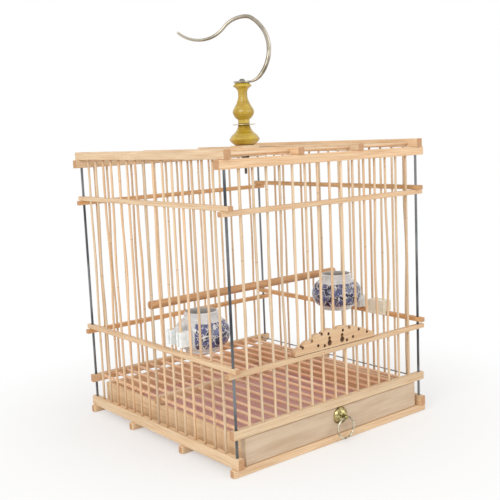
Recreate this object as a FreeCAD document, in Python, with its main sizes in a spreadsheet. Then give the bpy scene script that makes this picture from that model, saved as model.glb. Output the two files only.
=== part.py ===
import FreeCAD, Part
import Sketcher
import math
import os
import re

# Square bamboo bird cage. X runs along the front, Y from front to back, Z up.
# The origin is on the ground under the middle of the four corner rods.

# Driving sizes: millimetres, degrees and counts.
SIZES = {
    # Corner rods and sticks
    "rod_span_x": 300,
    "rod_span_y": 310,
    "rod_dia": 3.2,
    "rod_foot": 5,
    "rod_head": 7,
    "stick_dia": 3,
    "stick_count": 15,
    "stick_seat": 6,
    "hole_play": 0.1,
    "edge_ease": 0.8,
    # Base frame that stands on the ground
    "base_bar_width": 9,
    "base_bar_height": 8.4,
    "base_bar_overhang": 8.5,
    "base_bar_round": 2.8,
    "base_bar_mid_y": 56,
    "base_rail_width": 8,
    "base_rail_height": 12.2,
    "base_rail_overhang": 7,
    # Slatted floor
    "floor_rail_z": 41.5,
    "floor_rail_width": 7.5,
    "floor_rail_height": 10,
    "floor_rail_overhang": 6,
    "floor_mid_y": 9.7,
    "floor_mid_gap": 2,
    "slat_dia": 4,
    "slat_drop": 3.2,
    "slat_seat": 3,
    "floor_wire_dia": 1.8,
    # Belt rails round the walls
    "rail_width": 6.8,
    "rail_height": 5.6,
    "rail_overhang": 8.5,
    "lower_rail_z": 109.2,
    "lower_right_lift": 4,
    "upper_rail_drop": 48.8,
    # Roof
    "top_bar_z": 331,
    "top_bar_width": 9.5,
    "top_bar_height": 10.2,
    "front_bar_overhang": 9.5,
    "side_bar_overhang": 7,
    "roof_bar_x": 47,
    "roof_bar_width": 9,
    "roof_bar_height": 8,
    "roof_bar_overhang": 6,
    "crown_x": 2.5,
    "crown_width": 26,
    "crown_board_height": 5,
    "crown_tenon": 4,
    "crown_pad_height": 4,
    # Turned finial, bolt and nut
    "bolt_dia": 3.2,
    "bolt_play": 0.15,
    "bolt_tail": 34,
    "bolt_head_dia": 7.4,
    "bolt_head_height": 2.8,
    "nut_across": 9.2,
    "nut_height": 4,
    "bell_foot_radius": 11,
    "bell_rim_radius": 19.5,
    "bell_rim_z": 7.7,
    "bell_height": 25.8,
    "stem_radius": 7.4,
    "disc_radius": 14.2,
    "disc_height": 0.9,
    "collar_height": 5.8,
    "bulb_radius": 13.9,
    "bulb_z": 15.2,
    "neck_radius": 5.9,
    "neck_z": 34.6,
    "flange_radius": 11.4,
    "flange_z": 46.9,
    "stem_height": 51.4,
    "stem_top_radius": 9,
    # Hook
    "hook_turn_angle": -37.5,
    "eye_radius": 11,
    "eye_height": 2.2,
    "eye_play": 0.2,
    "hook_start": 5,
    "hook_bend_x": 7,
    "hook_side_x": 35.6,
    "hook_side_rise": 41.2,
    "hook_top_x": 7.5,
    "hook_top_rise": 39.7,
    "hook_foot_radius": 21.5,
    "hook_crown_radius": 14.5,
    "hook_arch_radius": 36.5,
    "hook_reach": 58.6,
    "hook_drop": 27,
    "hook_tip_angle": 41,
    "hook_root_dia": 2,
    "hook_foot_dia": 5.2,
    "hook_wire_dia": 5.8,
    "hook_tip_dia": 3.2,
    # Sliding door
    "door_stick_count": 7,
    "door_plate_half": 64.5,
    "door_plate_thick": 6.4,
    "door_plate_end": 3,
    "door_cusp1_x": 52.5,
    "door_cusp1_z": 8.6,
    "door_cusp2_x": 38.5,
    "door_cusp2_z": 14.2,
    "door_cusp3_x": 22.5,
    "door_cusp3_z": 19.2,
    "door_cusp_mid_z": 20.4,
    "door_lobe": 3.1,
    "door_notch_dia": 3.2,
    "door_seat": 6.5,
    "door_play": 0.3,
    "door_rest_gap": 0.2,
    "door_eyelet_dia": 3.2,
    "door_eyelet1_x": 11.7,
    "door_eyelet1_z": 17.6,
    "door_eyelet2_x": 28.5,
    "door_eyelet2_z": 6.8,
    "door_eyelet3_x": 18.2,
    "door_eyelet3_z": 4.7,
    "door_gourd_x": 10.3,
    "door_gourd_z": 6.8,
    "door_gourd_dia": 6.2,
    "door_gourd_neck": 3.6,
    "door_gourd_rise": 5.6,
    # Drawer and ring pull
    "drawer_side_gap": 6.5,
    "drawer_face_out": 2,
    "drawer_back_gap": 8,
    "drawer_front_thick": 8,
    "drawer_wall": 5,
    "drawer_bottom_thick": 3,
    "drawer_play": 0.3,
    "drawer_head_gap": 1,
    "drawer_wall_drop": 1.2,
    "pull_x": 4,
    "pull_z": 30.4,
    "boss_radius": 10,
    "boss_rim": 1.4,
    "boss_rise": 6.4,
    "post_radius": 2.8,
    "post_length": 12.6,
    "eyelet_out": 9.8,
    "eyelet_radius": 1.8,
    "ring_radius": 12.9,
    "ring_wire_dia": 2.2,
    # Perch
    "perch_dia": 10,
    "perch_z": 168,
    "perch_stick_count": 8,
    "perch_prong": 3.2,
    # Porcelain cups and their brackets
    "cup_height": 47.5,
    "cup_foot_radius": 20,
    "cup_belly_radius": 33.2,
    "cup_belly_z": 22,
    "cup_neck_radius": 20.8,
    "cup_neck_z": 39.4,
    "cup_rim_radius": 22,
    "cup_wall": 2.6,
    "cup_floor": 4,
    "cup_back": 25,
    "cup_stick_count": 5,
    "cup_left_inset": 37,
    "cup_left_z": 114.5,
    "cup_left_arm_z": 29.5,
    "cup_right_inset": 39,
    "cup_right_z": 128,
    "cup_right_arm_z": 13,
    "arm_width": 9,
    "arm_height": 4,
    "lip_thick": 3,
    "lip_drop": 8,
    "lip_out": 2.9,
    "lip_play": 0.6,
    "bracket_thick": 5,
    "bracket_margin": 6,
    "bracket_left_height": 17,
    "bracket_right_height": 15,
    "clip_out": 3.6,
    "clip_slot": 2.2,
    "spare_stick_count": 3,
    "spare_front": 10,
    "spare_rear": 17.6,
    "spare_top_z": 139.6,
    "spare_height": 18.6,
    "spare_clip_height": 14.2,
    "seat_gap": 0.05,
}

doc = FreeCAD.newDocument("bird_cage")
sheet = doc.addObject("Spreadsheet::Sheet", "Sizes")
for row, (name, number) in enumerate(SIZES.items(), start=1):
    sheet.set("A%d" % row, name)
    sheet.set("B%d" % row, str(number))
    sheet.setAlias("B%d" % row, name)
doc.recompute()

NODES = {}
UP = FreeCAD.Vector(0, 0, 1)

# Levels and places that several pieces share, as expressions of the sheet.
BASE_TOP = "base_bar_height + base_rail_height"
FLOOR_TOP = "floor_rail_z + floor_rail_height"
LOWER_SIDE_Z = "lower_rail_z + rail_height"
UPPER_RAIL_Z = "top_bar_z - upper_rail_drop"
ROOF_Z = "top_bar_z + top_bar_height"
CROWN_Z = "top_bar_z + top_bar_height + (roof_bar_height - crown_board_height) / 2"
FINIAL_Z = CROWN_Z + " + crown_board_height + crown_pad_height"
EYE_Z = FINIAL_Z + " + bell_height + disc_height + stem_height + eye_play"
DRAWER_Z = "base_bar_height + drawer_play"
DRAWER_TOP = "floor_rail_z - drawer_head_gap"
DRAWER_HALF = "rod_span_x / 2 - base_rail_width / 2 - drawer_side_gap"
DRAWER_FACE_Y = "-rod_span_y / 2 - drawer_face_out"
DRAWER_DEPTH = "rod_span_y + drawer_face_out - drawer_back_gap"
DOOR_Z = "lower_rail_z + rail_height + door_rest_gap"
ROD_X = "rod_span_x / 2"
ROD_Y = "rod_span_y / 2"
HOLE = "stick_dia / 2 + hole_play"
ROD_HOLE = "rod_dia / 2 + hole_play"


def bound(expression):
    """The expression with each size named as a cell of the sheet."""
    return re.sub(r"[a-z_][a-z0-9_]*", lambda word: "Sizes." + word.group(0), expression)


def value(expression):
    """The number that an expression of sizes gives."""
    return float(sheet.evalExpression(expression))


def tie(item, prop, expression):
    """Bind one property of an object to an expression of sizes."""
    item.setExpression(prop, bound(expression))


def place(item, x="0", y="0", z="0"):
    """Bind an object's place to three expressions and return it."""
    tie(item, "Placement.Base.x", x)
    tie(item, "Placement.Base.y", y)
    tie(item, "Placement.Base.z", z)
    return item


def node(label, item):
    """Keep an object as a piece of the cage under its own label."""
    item.Label = label
    NODES[label] = item
    return item


def stick_at(span, number):
    """Place of a stick along a wall, counted from the low end."""
    return "-%s / 2 + %s / (stick_count + 1) * %s" % (span, span, number)


def add_sketch(body, role, offset="0"):
    """Sketch on one of the body's own origin planes, moved along its normal."""
    plane = [item for item in body.Origin.OriginFeatures if item.Role == role][0]
    sketch = body.newObject("Sketcher::SketchObject", "sketch")
    sketch.AttachmentSupport = [(plane, "")]
    sketch.MapMode = "FlatFace"
    tie(sketch, "AttachmentOffset.Base.z", offset)
    return sketch


def fix(sketch, kind, expression, *where):
    """Add a driving dimension to a sketch and bind it to its sizes."""
    index = sketch.addConstraint(Sketcher.Constraint(kind, *where, value(expression)))
    tie(sketch, "Constraints[%d]" % index, expression)


def draw_rectangle(sketch, width, height, low="0"):
    """Rectangle centred on the sketch's upright axis, from low upwards."""
    half = value(width) / 2
    bottom = value(low)
    top = bottom + value(height)
    corners = [(-half, bottom), (half, bottom), (half, top), (-half, top)]
    points = [FreeCAD.Vector(x, y, 0) for x, y in corners]
    for index in range(4):
        sketch.addGeometry(Part.LineSegment(points[index], points[(index + 1) % 4]))
    for index in range(4):
        sketch.addConstraint(Sketcher.Constraint("Coincident", index, 2, (index + 1) % 4, 1))
    sketch.addConstraint(Sketcher.Constraint("Symmetric", 0, 1, 0, 2, -2))
    for index, kind in enumerate(["Vertical", "Horizontal", "Vertical"], start=1):
        sketch.addConstraint(Sketcher.Constraint(kind, index))
    fix(sketch, "DistanceX", width, 0, 1, 0, 2)
    fix(sketch, "DistanceY", height, 1, 1, 1, 2)
    if low == "0":
        sketch.addConstraint(Sketcher.Constraint("PointOnObject", 0, 1, -1))
    else:
        fix(sketch, "DistanceY", low, -1, 1, 0, 1)


def draw_circles(sketch, centres, radius):
    """Equal circles in a sketch, each centre given by two expressions."""
    for index, (x, y) in enumerate(centres):
        centre = FreeCAD.Vector(value(x), value(y), 0)
        sketch.addGeometry(Part.Circle(centre, UP, value(radius)))
        if index:
            sketch.addConstraint(Sketcher.Constraint("Equal", 0, index))
        else:
            fix(sketch, "Radius", radius, index)
        for kind, expression, axis in (("DistanceX", x, -2), ("DistanceY", y, -1)):
            if expression == "0":
                sketch.addConstraint(Sketcher.Constraint("PointOnObject", index, 3, axis))
            else:
                fix(sketch, kind, expression, -1, 1, index, 3)


def add_pad(body, sketch, length, both_ways=False):
    """Pad a sketch, from its plane or to both sides of it."""
    pad = body.newObject("PartDesign::Pad", "pad")
    pad.Profile = sketch
    pad.SideType = "Symmetric" if both_ways else "One side"
    tie(pad, "Length", length)
    return pad


def cut_pocket(body, sketch, depth=None, reverse=False):
    """Cut a sketch into its body, right through where no depth is given."""
    pocket = body.newObject("PartDesign::Pocket", "pocket")
    pocket.Profile = sketch
    pocket.Reversed = reverse
    if depth is None:
        pocket.SideType = "Symmetric"
        pocket.Type = "ThroughAll"
    else:
        tie(pocket, "Length", depth)
    return pocket


def drill(body, role, centres, radius, depth=None, start="0", reverse=False):
    """Round holes square to an origin plane of the body."""
    sketch = add_sketch(body, role, start)
    draw_circles(sketch, centres, radius)
    return cut_pocket(body, sketch, depth, reverse)


def parallel_edges(shape, axis):
    """Names of the straight edges of a shape that run along an axis."""
    names = []
    for index, edge in enumerate(shape.Edges, start=1):
        along = edge.Vertexes[1].Point - edge.Vertexes[0].Point
        if abs(along.normalize().dot(axis)) > 0.99:
            names.append("Edge%d" % index)
    return names


def bar(label, along, length, width, height, ends=None):
    """Bar with eased edges, centred in plan, its underside at zero.

    The ends, where a radius is given, are rounded in plan.
    """
    body = doc.addObject("PartDesign::Body", "Body")
    sketch = add_sketch(body, "YZ_Plane" if along == "X" else "XZ_Plane")
    draw_rectangle(sketch, width, height)
    base = add_pad(body, sketch, length, both_ways=True)
    doc.recompute()
    axis = FreeCAD.Vector(1, 0, 0) if along == "X" else FreeCAD.Vector(0, 1, 0)
    for radius, direction in ((ends, UP), ("edge_ease", axis)):
        if radius is None:
            continue
        fillet = body.newObject("PartDesign::Fillet", "eased")
        fillet.Base = (base, parallel_edges(base.Shape, direction))
        tie(fillet, "Radius", radius)
        base = fillet
        doc.recompute()
    return node(label, body)


def rods(label, role, centres, radius, start, length):
    """Parallel round rods as separate solids of one piece group."""
    body = doc.addObject("PartDesign::Body", "Body")
    sketch = add_sketch(body, role, start)
    draw_circles(sketch, centres, radius)
    add_pad(body, sketch, length)
    return node(label, body)


def block(x, y, z, length, width, height):
    """Plain box with its low corner and its three sizes bound."""
    item = doc.addObject("Part::Box", "Box")
    tie(item, "Length", length)
    tie(item, "Width", width)
    tie(item, "Height", height)
    return place(item, x, y, z)


def pin(x, y, z, radius, height):
    """Upright cylinder with its place and its sizes bound."""
    item = doc.addObject("Part::Cylinder", "Cylinder")
    tie(item, "Radius", radius)
    tie(item, "Height", height)
    return place(item, x, y, z)


def fuse(items):
    """One solid of several."""
    joined = doc.addObject("Part::MultiFuse", "Fuse")
    joined.Shapes = items
    joined.Refine = True
    return joined


def cut(base, tool):
    """A solid with another taken away."""
    item = doc.addObject("Part::Cut", "Cut")
    item.Base = base
    item.Tool = tool
    return item


def turned_shape(steps):
    """Solid of revolution about Z.

    Each step is a pair of radius and height, reached by a line, or four
    numbers, the middle and the end of an arc.
    """
    points = [FreeCAD.Vector(step[-2], 0, step[-1]) for step in steps]
    edges = []
    for index, step in enumerate(steps):
        start = points[index - 1]
        if len(step) == 4:
            middle = FreeCAD.Vector(step[0], 0, step[1])
            edges.append(Part.Arc(start, middle, points[index]).toShape())
        else:
            edges.append(Part.LineSegment(start, points[index]).toShape())
    face = Part.Face(Part.Wire(edges))
    return face.revolve(FreeCAD.Vector(0, 0, 0), UP, 360)


def feature(label, shape, base=(0, 0, 0), turn=0, axis=UP):
    """Piece with a shape made from the sheet's numbers, then placed."""
    item = doc.addObject("Part::Feature", "Feature")
    item.Shape = shape
    item.Placement = FreeCAD.Placement(FreeCAD.Vector(*base), FreeCAD.Rotation(axis, turn))
    return node(label, item)


def rod_pair(span):
    """The two rod holes at the ends of a bar, along its first sketch axis."""
    return [("-%s / 2" % span, "0"), ("%s / 2" % span, "0")]


def wall_sticks(span, numbers):
    """Centres of a wall's sticks along the first sketch axis."""
    return [(stick_at(span, number), "0") for number in numbers]


COUNT = int(SIZES["stick_count"])
ALL_STICKS = range(1, COUNT + 1)
DOOR_FIRST = (COUNT + 1) // 2 - int(SIZES["door_stick_count"]) // 2
DOOR_STICKS = range(DOOR_FIRST, DOOR_FIRST + int(SIZES["door_stick_count"]))
LEFT_OF_DOOR = range(1, DOOR_FIRST)
RIGHT_OF_DOOR = range(DOOR_STICKS[-1] + 1, COUNT + 1)
HALF_PLACES = ["%d - 0.5" % number for number in range(1, COUNT + 2)]
SIDES = (("left", "-"), ("right", ""))
FACES = (("front", "-"), ("back", ""))


def swap(centres):
    """Centres with their two coordinates exchanged."""
    return [(y, x) for x, y in centres]


def build_base():
    """Four cross bars on the ground and the two side rails on them."""
    length = "rod_span_x + 2 * base_bar_overhang"
    places = {
        "base_bar_front": "-" + ROD_Y,
        "base_bar_mid_front": "-base_bar_mid_y",
        "base_bar_mid_rear": "base_bar_mid_y",
        "base_bar_back": ROD_Y,
    }
    for label, y in places.items():
        body = bar(label, "X", length, "base_bar_width", "base_bar_height", "base_bar_round")
        if label in ("base_bar_front", "base_bar_back"):
            drill(body, "XY_Plane", rod_pair("rod_span_x"), ROD_HOLE, "rod_foot", "base_bar_height")
        place(body, "0", y)
    for side, sign in SIDES:
        body = bar("base_rail_" + side, "Y", "rod_span_y + 2 * base_rail_overhang",
                   "base_rail_width", "base_rail_height")
        drill(body, "XY_Plane", swap(rod_pair("rod_span_y")), ROD_HOLE)
        drill(body, "XY_Plane", swap(wall_sticks("rod_span_y", ALL_STICKS)), HOLE,
              "stick_seat", "base_rail_height")
        place(body, sign + ROD_X, "0", "base_bar_height")


def build_floor():
    """Front, middle and back floor rails, the slats and the wire at the right."""
    slat_hole = "slat_dia / 2 + hole_play"
    wire_hole = "floor_wire_dia / 2 + hole_play"
    height = "floor_rail_height - slat_drop"
    slats = [(stick_at("rod_span_x", "(%s)" % number), height) for number in HALF_PLACES[:-1]]
    wire = [(stick_at("rod_span_x", "(%s)" % HALF_PLACES[-1]), height)]
    length = "rod_span_x + 2 * floor_rail_overhang"
    for face, sign in FACES:
        body = bar("floor_rail_" + face, "X", length, "floor_rail_width", "floor_rail_height")
        drill(body, "XY_Plane", rod_pair("rod_span_x"), ROD_HOLE)
        drill(body, "XY_Plane", wall_sticks("rod_span_x", ALL_STICKS), HOLE,
              "stick_seat", "floor_rail_height")
        inner = "-floor_rail_width / 2" if face == "front" else "floor_rail_width / 2"
        for centres, radius in ((slats, slat_hole), (wire, wire_hole)):
            drill(body, "XZ_Plane", centres, radius, "slat_seat", inner, face == "front")
        place(body, "0", sign + ROD_Y, "floor_rail_z")
    middle = "rod_span_x - stick_dia - 2 * floor_mid_gap"
    body = bar("floor_rail_middle", "X", middle, "floor_rail_width", "floor_rail_height")
    drill(body, "XZ_Plane", slats, slat_hole)
    drill(body, "XZ_Plane", wire, wire_hole)
    place(body, "0", "floor_mid_y", "floor_rail_z")
    span = "rod_span_y - floor_rail_width + 2 * slat_seat"
    start = "-(%s) / 2" % span
    for label, centres, radius in (("floor_slats", slats, "slat_dia / 2"),
                                   ("floor_wire", wire, "floor_wire_dia / 2")):
        body = rods(label, "XZ_Plane", centres, radius, start, span)
        place(body, "0", "0", "floor_rail_z")


def build_belts():
    """Lower and upper belt rails, the side ones lying on the front and back ones."""
    for level, low in (("lower", "lower_rail_z"), ("upper", UPPER_RAIL_Z)):
        for face, sign in FACES:
            body = bar("%s_rail_%s" % (level, face), "X", "rod_span_x + 2 * rail_overhang",
                       "rail_width", "rail_height")
            drill(body, "XY_Plane", rod_pair("rod_span_x"), ROD_HOLE)
            drill_front(body, face, level)
            place(body, "0", sign + ROD_Y, low)
        for side, sign in SIDES:
            body = bar("%s_rail_%s" % (level, side), "Y", "rod_span_y + 2 * rail_overhang",
                       "rail_width", "rail_height")
            drill(body, "XY_Plane", swap(rod_pair("rod_span_y")), ROD_HOLE)
            drill(body, "XY_Plane", swap(wall_sticks("rod_span_y", ALL_STICKS)), HOLE)
            lift = " + lower_right_lift" if (level, side) == ("lower", "right") else ""
            place(body, sign + ROD_X, "0", low + " + rail_height" + lift)


def drill_front(body, face, level):
    """Stick holes of a front or back belt rail, with room for the sliding door."""
    if face == "back":
        drill(body, "XY_Plane", wall_sticks("rod_span_x", ALL_STICKS), HOLE)
        return
    fixed = list(LEFT_OF_DOOR) + list(RIGHT_OF_DOOR)
    drill(body, "XY_Plane", wall_sticks("rod_span_x", fixed), HOLE)
    door = wall_sticks("rod_span_x", DOOR_STICKS)
    if level == "upper":
        drill(body, "XY_Plane", door, "stick_dia / 2 + door_play")
    else:
        drill(body, "XY_Plane", door, HOLE, "rail_height - edge_ease", "0", True)


def build_roof():
    """Top bars, the two bars between them, the roof sticks and the crown."""
    for face, sign in FACES:
        body = bar("top_bar_" + face, "X", "rod_span_x + 2 * front_bar_overhang",
                   "top_bar_width", "top_bar_height")
        drill(body, "XY_Plane", rod_pair("rod_span_x"), ROD_HOLE)
        fixed = ALL_STICKS if face == "back" else list(LEFT_OF_DOOR) + list(RIGHT_OF_DOOR)
        drill(body, "XY_Plane", wall_sticks("rod_span_x", fixed), HOLE, "stick_seat", "0", True)
        if face == "front":
            drill(body, "XY_Plane", wall_sticks("rod_span_x", DOOR_STICKS),
                  "stick_dia / 2 + door_play")
        place(body, "0", sign + ROD_Y, "top_bar_z")
    middle = "roof_bar_height / 2"
    keep = value("crown_width / 2 + stick_dia")
    roof_places = [stick_at("rod_span_y", "(%s)" % number) for number in HALF_PLACES]
    groups = {
        "front": [(y, middle) for y in roof_places if value(y) < -keep],
        "back": [(y, middle) for y in roof_places if value(y) > keep],
    }
    everywhere = groups["front"] + groups["back"]
    for side, sign in SIDES:
        inward = side == "right"
        body = bar("top_bar_" + side, "Y", "rod_span_y + 2 * side_bar_overhang",
                   "top_bar_width", "top_bar_height")
        drill(body, "XY_Plane", swap(rod_pair("rod_span_y")), ROD_HOLE, "rod_head", "0", True)
        drill(body, "XY_Plane", swap(wall_sticks("rod_span_y", ALL_STICKS)), HOLE,
              "stick_seat", "0", True)
        inner = "-top_bar_width / 2" if inward else "top_bar_width / 2"
        drill(body, "YZ_Plane", everywhere, HOLE, "slat_seat", inner, inward)
        place(body, sign + ROD_X, "0", ROOF_Z)
        body = bar("roof_bar_" + side, "Y", "rod_span_y + 2 * roof_bar_overhang",
                   "roof_bar_width", "roof_bar_height")
        drill(body, "YZ_Plane", everywhere, HOLE)
        inner = "-roof_bar_width / 2" if inward else "roof_bar_width / 2"
        mortise = add_sketch(body, "YZ_Plane", inner)
        draw_rectangle(mortise, "crown_width + 2 * hole_play", "crown_board_height + 2 * hole_play",
                       "(roof_bar_height - crown_board_height) / 2 - hole_play")
        cut_pocket(body, mortise, "crown_tenon + hole_play", inward)
        place(body, sign + "roof_bar_x", "0", ROOF_Z)
    reach = "rod_span_x - top_bar_width + 2 * slat_seat"
    for face, centres in groups.items():
        body = rods("roof_sticks_" + face, "YZ_Plane", centres, "stick_dia / 2",
                    "-(%s) / 2" % reach, reach)
        place(body, "0", "0", ROOF_Z)
    build_crown()


def build_crown():
    """Board let in between the roof bars, with a square pad above and below it."""
    bolt_hole = "bolt_dia / 2 + bolt_play"
    length = "2 * (roof_bar_x - roof_bar_width / 2 + crown_tenon)"
    board = bar("crown_board", "X", length, "crown_width", "crown_board_height")
    drill(board, "XY_Plane", [("crown_x", "0")], bolt_hole)
    place(board, "0", "0", CROWN_Z)
    levels = [CROWN_Z + " - crown_pad_height", CROWN_Z + " + crown_board_height"]
    pads = []
    for level in levels:
        square = block("crown_x - crown_width / 2", "-crown_width / 2", level,
                       "crown_width", "crown_width", "crown_pad_height")
        pads.append(cut(square, pin("crown_x", "0", level, bolt_hole, "crown_pad_height")))
    group = doc.addObject("Part::Compound", "Pads")
    group.Links = pads
    node("crown_pads", group)


def build_walls():
    """Corner rods and the fixed sticks of the four walls."""
    side_foot = BASE_TOP + " - stick_seat"
    side_length = ROOF_Z + " + stick_seat - (%s)" % side_foot
    front_foot = FLOOR_TOP + " - stick_seat"
    front_length = "top_bar_z + stick_seat - (%s)" % front_foot
    for side, sign in SIDES:
        centres = [(sign + ROD_X, y) for y, _ in wall_sticks("rod_span_y", ALL_STICKS)]
        rods("sticks_" + side, "XY_Plane", centres, "stick_dia / 2", side_foot, side_length)
    groups = {
        "sticks_back": (ROD_Y, ALL_STICKS, front_length),
        "sticks_front_left": ("-" + ROD_Y, LEFT_OF_DOOR, front_length),
        "sticks_front_right": ("-" + ROD_Y, RIGHT_OF_DOOR, front_length),
        "sticks_below_door": ("-" + ROD_Y, DOOR_STICKS,
                              LOWER_SIDE_Z + " - edge_ease - hole_play - (%s)" % front_foot),
    }
    for label, (y, numbers, length) in groups.items():
        centres = [(x, y) for x, _ in wall_sticks("rod_span_x", numbers)]
        rods(label, "XY_Plane", centres, "stick_dia / 2", front_foot, length)
    rod_foot = "base_bar_height - rod_foot"
    rod_length = ROOF_Z + " + rod_head - (%s)" % rod_foot
    for face, y_sign in FACES:
        for side, x_sign in SIDES:
            rods("corner_rod_%s_%s" % (face, side), "XY_Plane",
                 [(x_sign + ROD_X, y_sign + ROD_Y)], "rod_dia / 2", rod_foot, rod_length)


def build_finial():
    """Turned bell, brass disc and baluster on the bolt, with the nut below."""
    size = {name: value(name) for name in SIZES}
    bore = size["bolt_dia"] / 2 + size["bolt_play"]
    base = value(FINIAL_Z)
    middle = size["crown_x"]
    foot = size["bell_foot_radius"]
    rim = size["bell_rim_radius"]
    rim_z = size["bell_rim_z"]
    stem = size["stem_radius"]
    bell = size["bell_height"]
    feature("finial_bell", turned_shape([
        (bore, 0), (foot, 0),
        (foot + 0.5 * (rim - foot), 0.3 * rim_z, rim, rim_z),
        (rim - 0.2 * (rim - stem), rim_z + 0.22 * (bell - rim_z),
         rim - 0.43 * (rim - stem), rim_z + 0.38 * (bell - rim_z)),
        (stem + 0.18 * (rim - stem), rim_z + 0.68 * (bell - rim_z), stem, bell),
        (bore, bell)]), (middle, 0, base))
    disc = size["disc_height"]
    radius = size["disc_radius"]
    feature("finial_disc", turned_shape([
        (bore, 0), (radius, 0), (radius + disc / 2, disc / 2, radius, disc), (bore, disc)]),
        (middle, 0, base + bell))
    collar = size["collar_height"]
    bulb = size["bulb_radius"]
    bulb_z = size["bulb_z"]
    neck = size["neck_radius"]
    neck_z = size["neck_z"]
    flange = size["flange_radius"]
    flange_z = size["flange_z"]
    top = size["stem_height"]
    waist = neck + 0.71 * (bulb - neck)
    waist_z = bulb_z + 0.3 * (neck_z - bulb_z)
    neck_top = neck_z + 0.42 * (flange_z - neck_z)
    feature("finial_baluster", turned_shape([
        (bore, 0), (stem, 0), (stem, collar),
        (stem + 0.65 * (bulb - stem), collar + 0.42 * (bulb_z - collar), bulb, bulb_z),
        (waist + 0.64 * (bulb - waist), bulb_z + 0.52 * (waist_z - bulb_z), waist, waist_z),
        (neck + 0.39 * (waist - neck), waist_z + 0.46 * (neck_z - waist_z), neck, neck_z),
        (neck, neck_top),
        (neck + 0.3 * (flange - neck), neck_top + 0.6 * (flange_z - neck_top), flange, flange_z),
        (flange + 0.5, flange_z + 0.25 * (top - flange_z),
         flange - 0.4, flange_z + 0.5 * (top - flange_z)),
        (size["stem_top_radius"], top), (bore, top)]), (middle, 0, base + bell + disc))
    shaft = size["bolt_dia"] / 2
    head = size["bolt_head_dia"] / 2
    rise = size["bolt_head_height"]
    tail = value(ROOF_Z) + size["roof_bar_height"] - size["bolt_tail"]
    seat = value(EYE_Z) + size["eye_height"] + size["eye_play"]
    feature("hook_bolt", turned_shape([
        (0, tail), (shaft, tail), (shaft, seat), (head, seat), (head, seat + 0.3 * rise),
        (0.76 * head, seat + 0.78 * rise, 0.25 * head, seat + rise), (0, seat + rise)]),
        (middle, 0, 0))
    nut = doc.addObject("Part::Prism", "Prism")
    nut.Polygon = 6
    tie(nut, "Circumradius", "nut_across / 1.732")
    tie(nut, "Height", "nut_height")
    under = CROWN_Z + " - crown_pad_height - nut_height"
    place(nut, "crown_x", "0", under)
    hole = pin("crown_x", "0", under, "bolt_dia / 2 + hole_play", "nut_height")
    node("crown_nut", cut(nut, hole))


def arc_edge(centre, radius, start, end):
    """Arc in the XZ plane between two angles, taken in the order given."""
    points = []
    for share in (0, 0.5, 1):
        angle = math.radians(start + share * (end - start))
        points.append(FreeCAD.Vector(centre[0] + radius * math.cos(angle), 0,
                                     centre[1] + radius * math.sin(angle)))
    return Part.Arc(*points).toShape()


def side_radius(across, rise, end_radius):
    """Radius of the long arc that meets an end arc between two square tangents."""
    return (across ** 2 + rise ** 2 - 2 * rise * end_radius) / (2 * (across - end_radius))


def tapered_wire(edges, start, end):
    """Round wire along joined edges that tapers evenly from one diameter to another."""
    first = edges[0]
    last = edges[-1]
    caps = []
    for edge, spot, dia in ((first, first.FirstParameter, start), (last, last.LastParameter, end)):
        circle = Part.Circle(edge.valueAt(spot), edge.tangentAt(spot), dia / 2)
        caps.append(Part.Wire(circle.toShape()))
    return Part.Wire(edges).makePipeShell(caps, True, False)


def build_hook():
    """Hook of tapered wire on a flat eye that turns on the bolt."""
    size = {name: value(name) for name in SIZES}
    side_x = size["hook_side_x"]
    eye_mid = size["eye_height"] / 2
    side_z = eye_mid + size["hook_side_rise"]
    top_z = side_z + size["hook_top_rise"]
    foot = size["hook_foot_radius"]
    crown = size["hook_crown_radius"]
    bend_x = size["hook_bend_x"]
    top_x = size["hook_top_x"]
    low_across = side_x - bend_x
    high_across = side_x - top_x
    low = side_radius(low_across, size["hook_side_rise"], foot)
    high = side_radius(high_across, size["hook_top_rise"], crown)
    low_turn = math.degrees(math.atan2(size["hook_side_rise"] - foot, low - low_across))
    high_turn = math.degrees(math.atan2(size["hook_top_rise"] - crown, high - high_across))
    slope = 2 * math.degrees(math.atan2(size["hook_drop"], size["hook_reach"]))
    arch = size["hook_arch_radius"]
    trough = size["hook_reach"] / math.sin(math.radians(slope)) - arch
    trough_z = top_z - size["hook_drop"] + trough
    root = FreeCAD.Vector(size["hook_start"], 0, eye_mid)
    edges = [
        Part.LineSegment(root, FreeCAD.Vector(bend_x, 0, eye_mid)).toShape(),
        arc_edge((bend_x, eye_mid + foot), foot, -90, -low_turn),
        arc_edge((side_x - low, side_z), low, -low_turn, 0),
        arc_edge((side_x - high, side_z), high, 0, high_turn),
        arc_edge((top_x, top_z - crown), crown, high_turn, 90),
        arc_edge((top_x, top_z - arch), arch, 90, 90 + slope),
        arc_edge((top_x - size["hook_reach"], trough_z), trough,
                 slope - 90, -90 - size["hook_tip_angle"]),
    ]
    spans = (
        (edges[:1], size["hook_root_dia"], size["hook_root_dia"]),
        (edges[1:2], size["hook_root_dia"], size["hook_foot_dia"]),
        (edges[2:3], size["hook_foot_dia"], size["hook_wire_dia"]),
        (edges[3:], size["hook_wire_dia"], size["hook_tip_dia"]),
    )
    wires = [tapered_wire(*span) for span in spans]
    tip = edges[-1].valueAt(edges[-1].LastParameter)
    ball = Part.makeSphere(size["hook_tip_dia"] / 2, tip)
    eye = Part.makeCylinder(size["eye_radius"], size["eye_height"])
    bore = Part.makeCylinder(size["bolt_dia"] / 2 + size["hole_play"], size["eye_height"])
    shape = eye.fuse(wires + [ball]).cut(bore).removeSplitter()
    feature("hook", shape, (size["crown_x"], 0, value(EYE_Z)), size["hook_turn_angle"])


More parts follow.
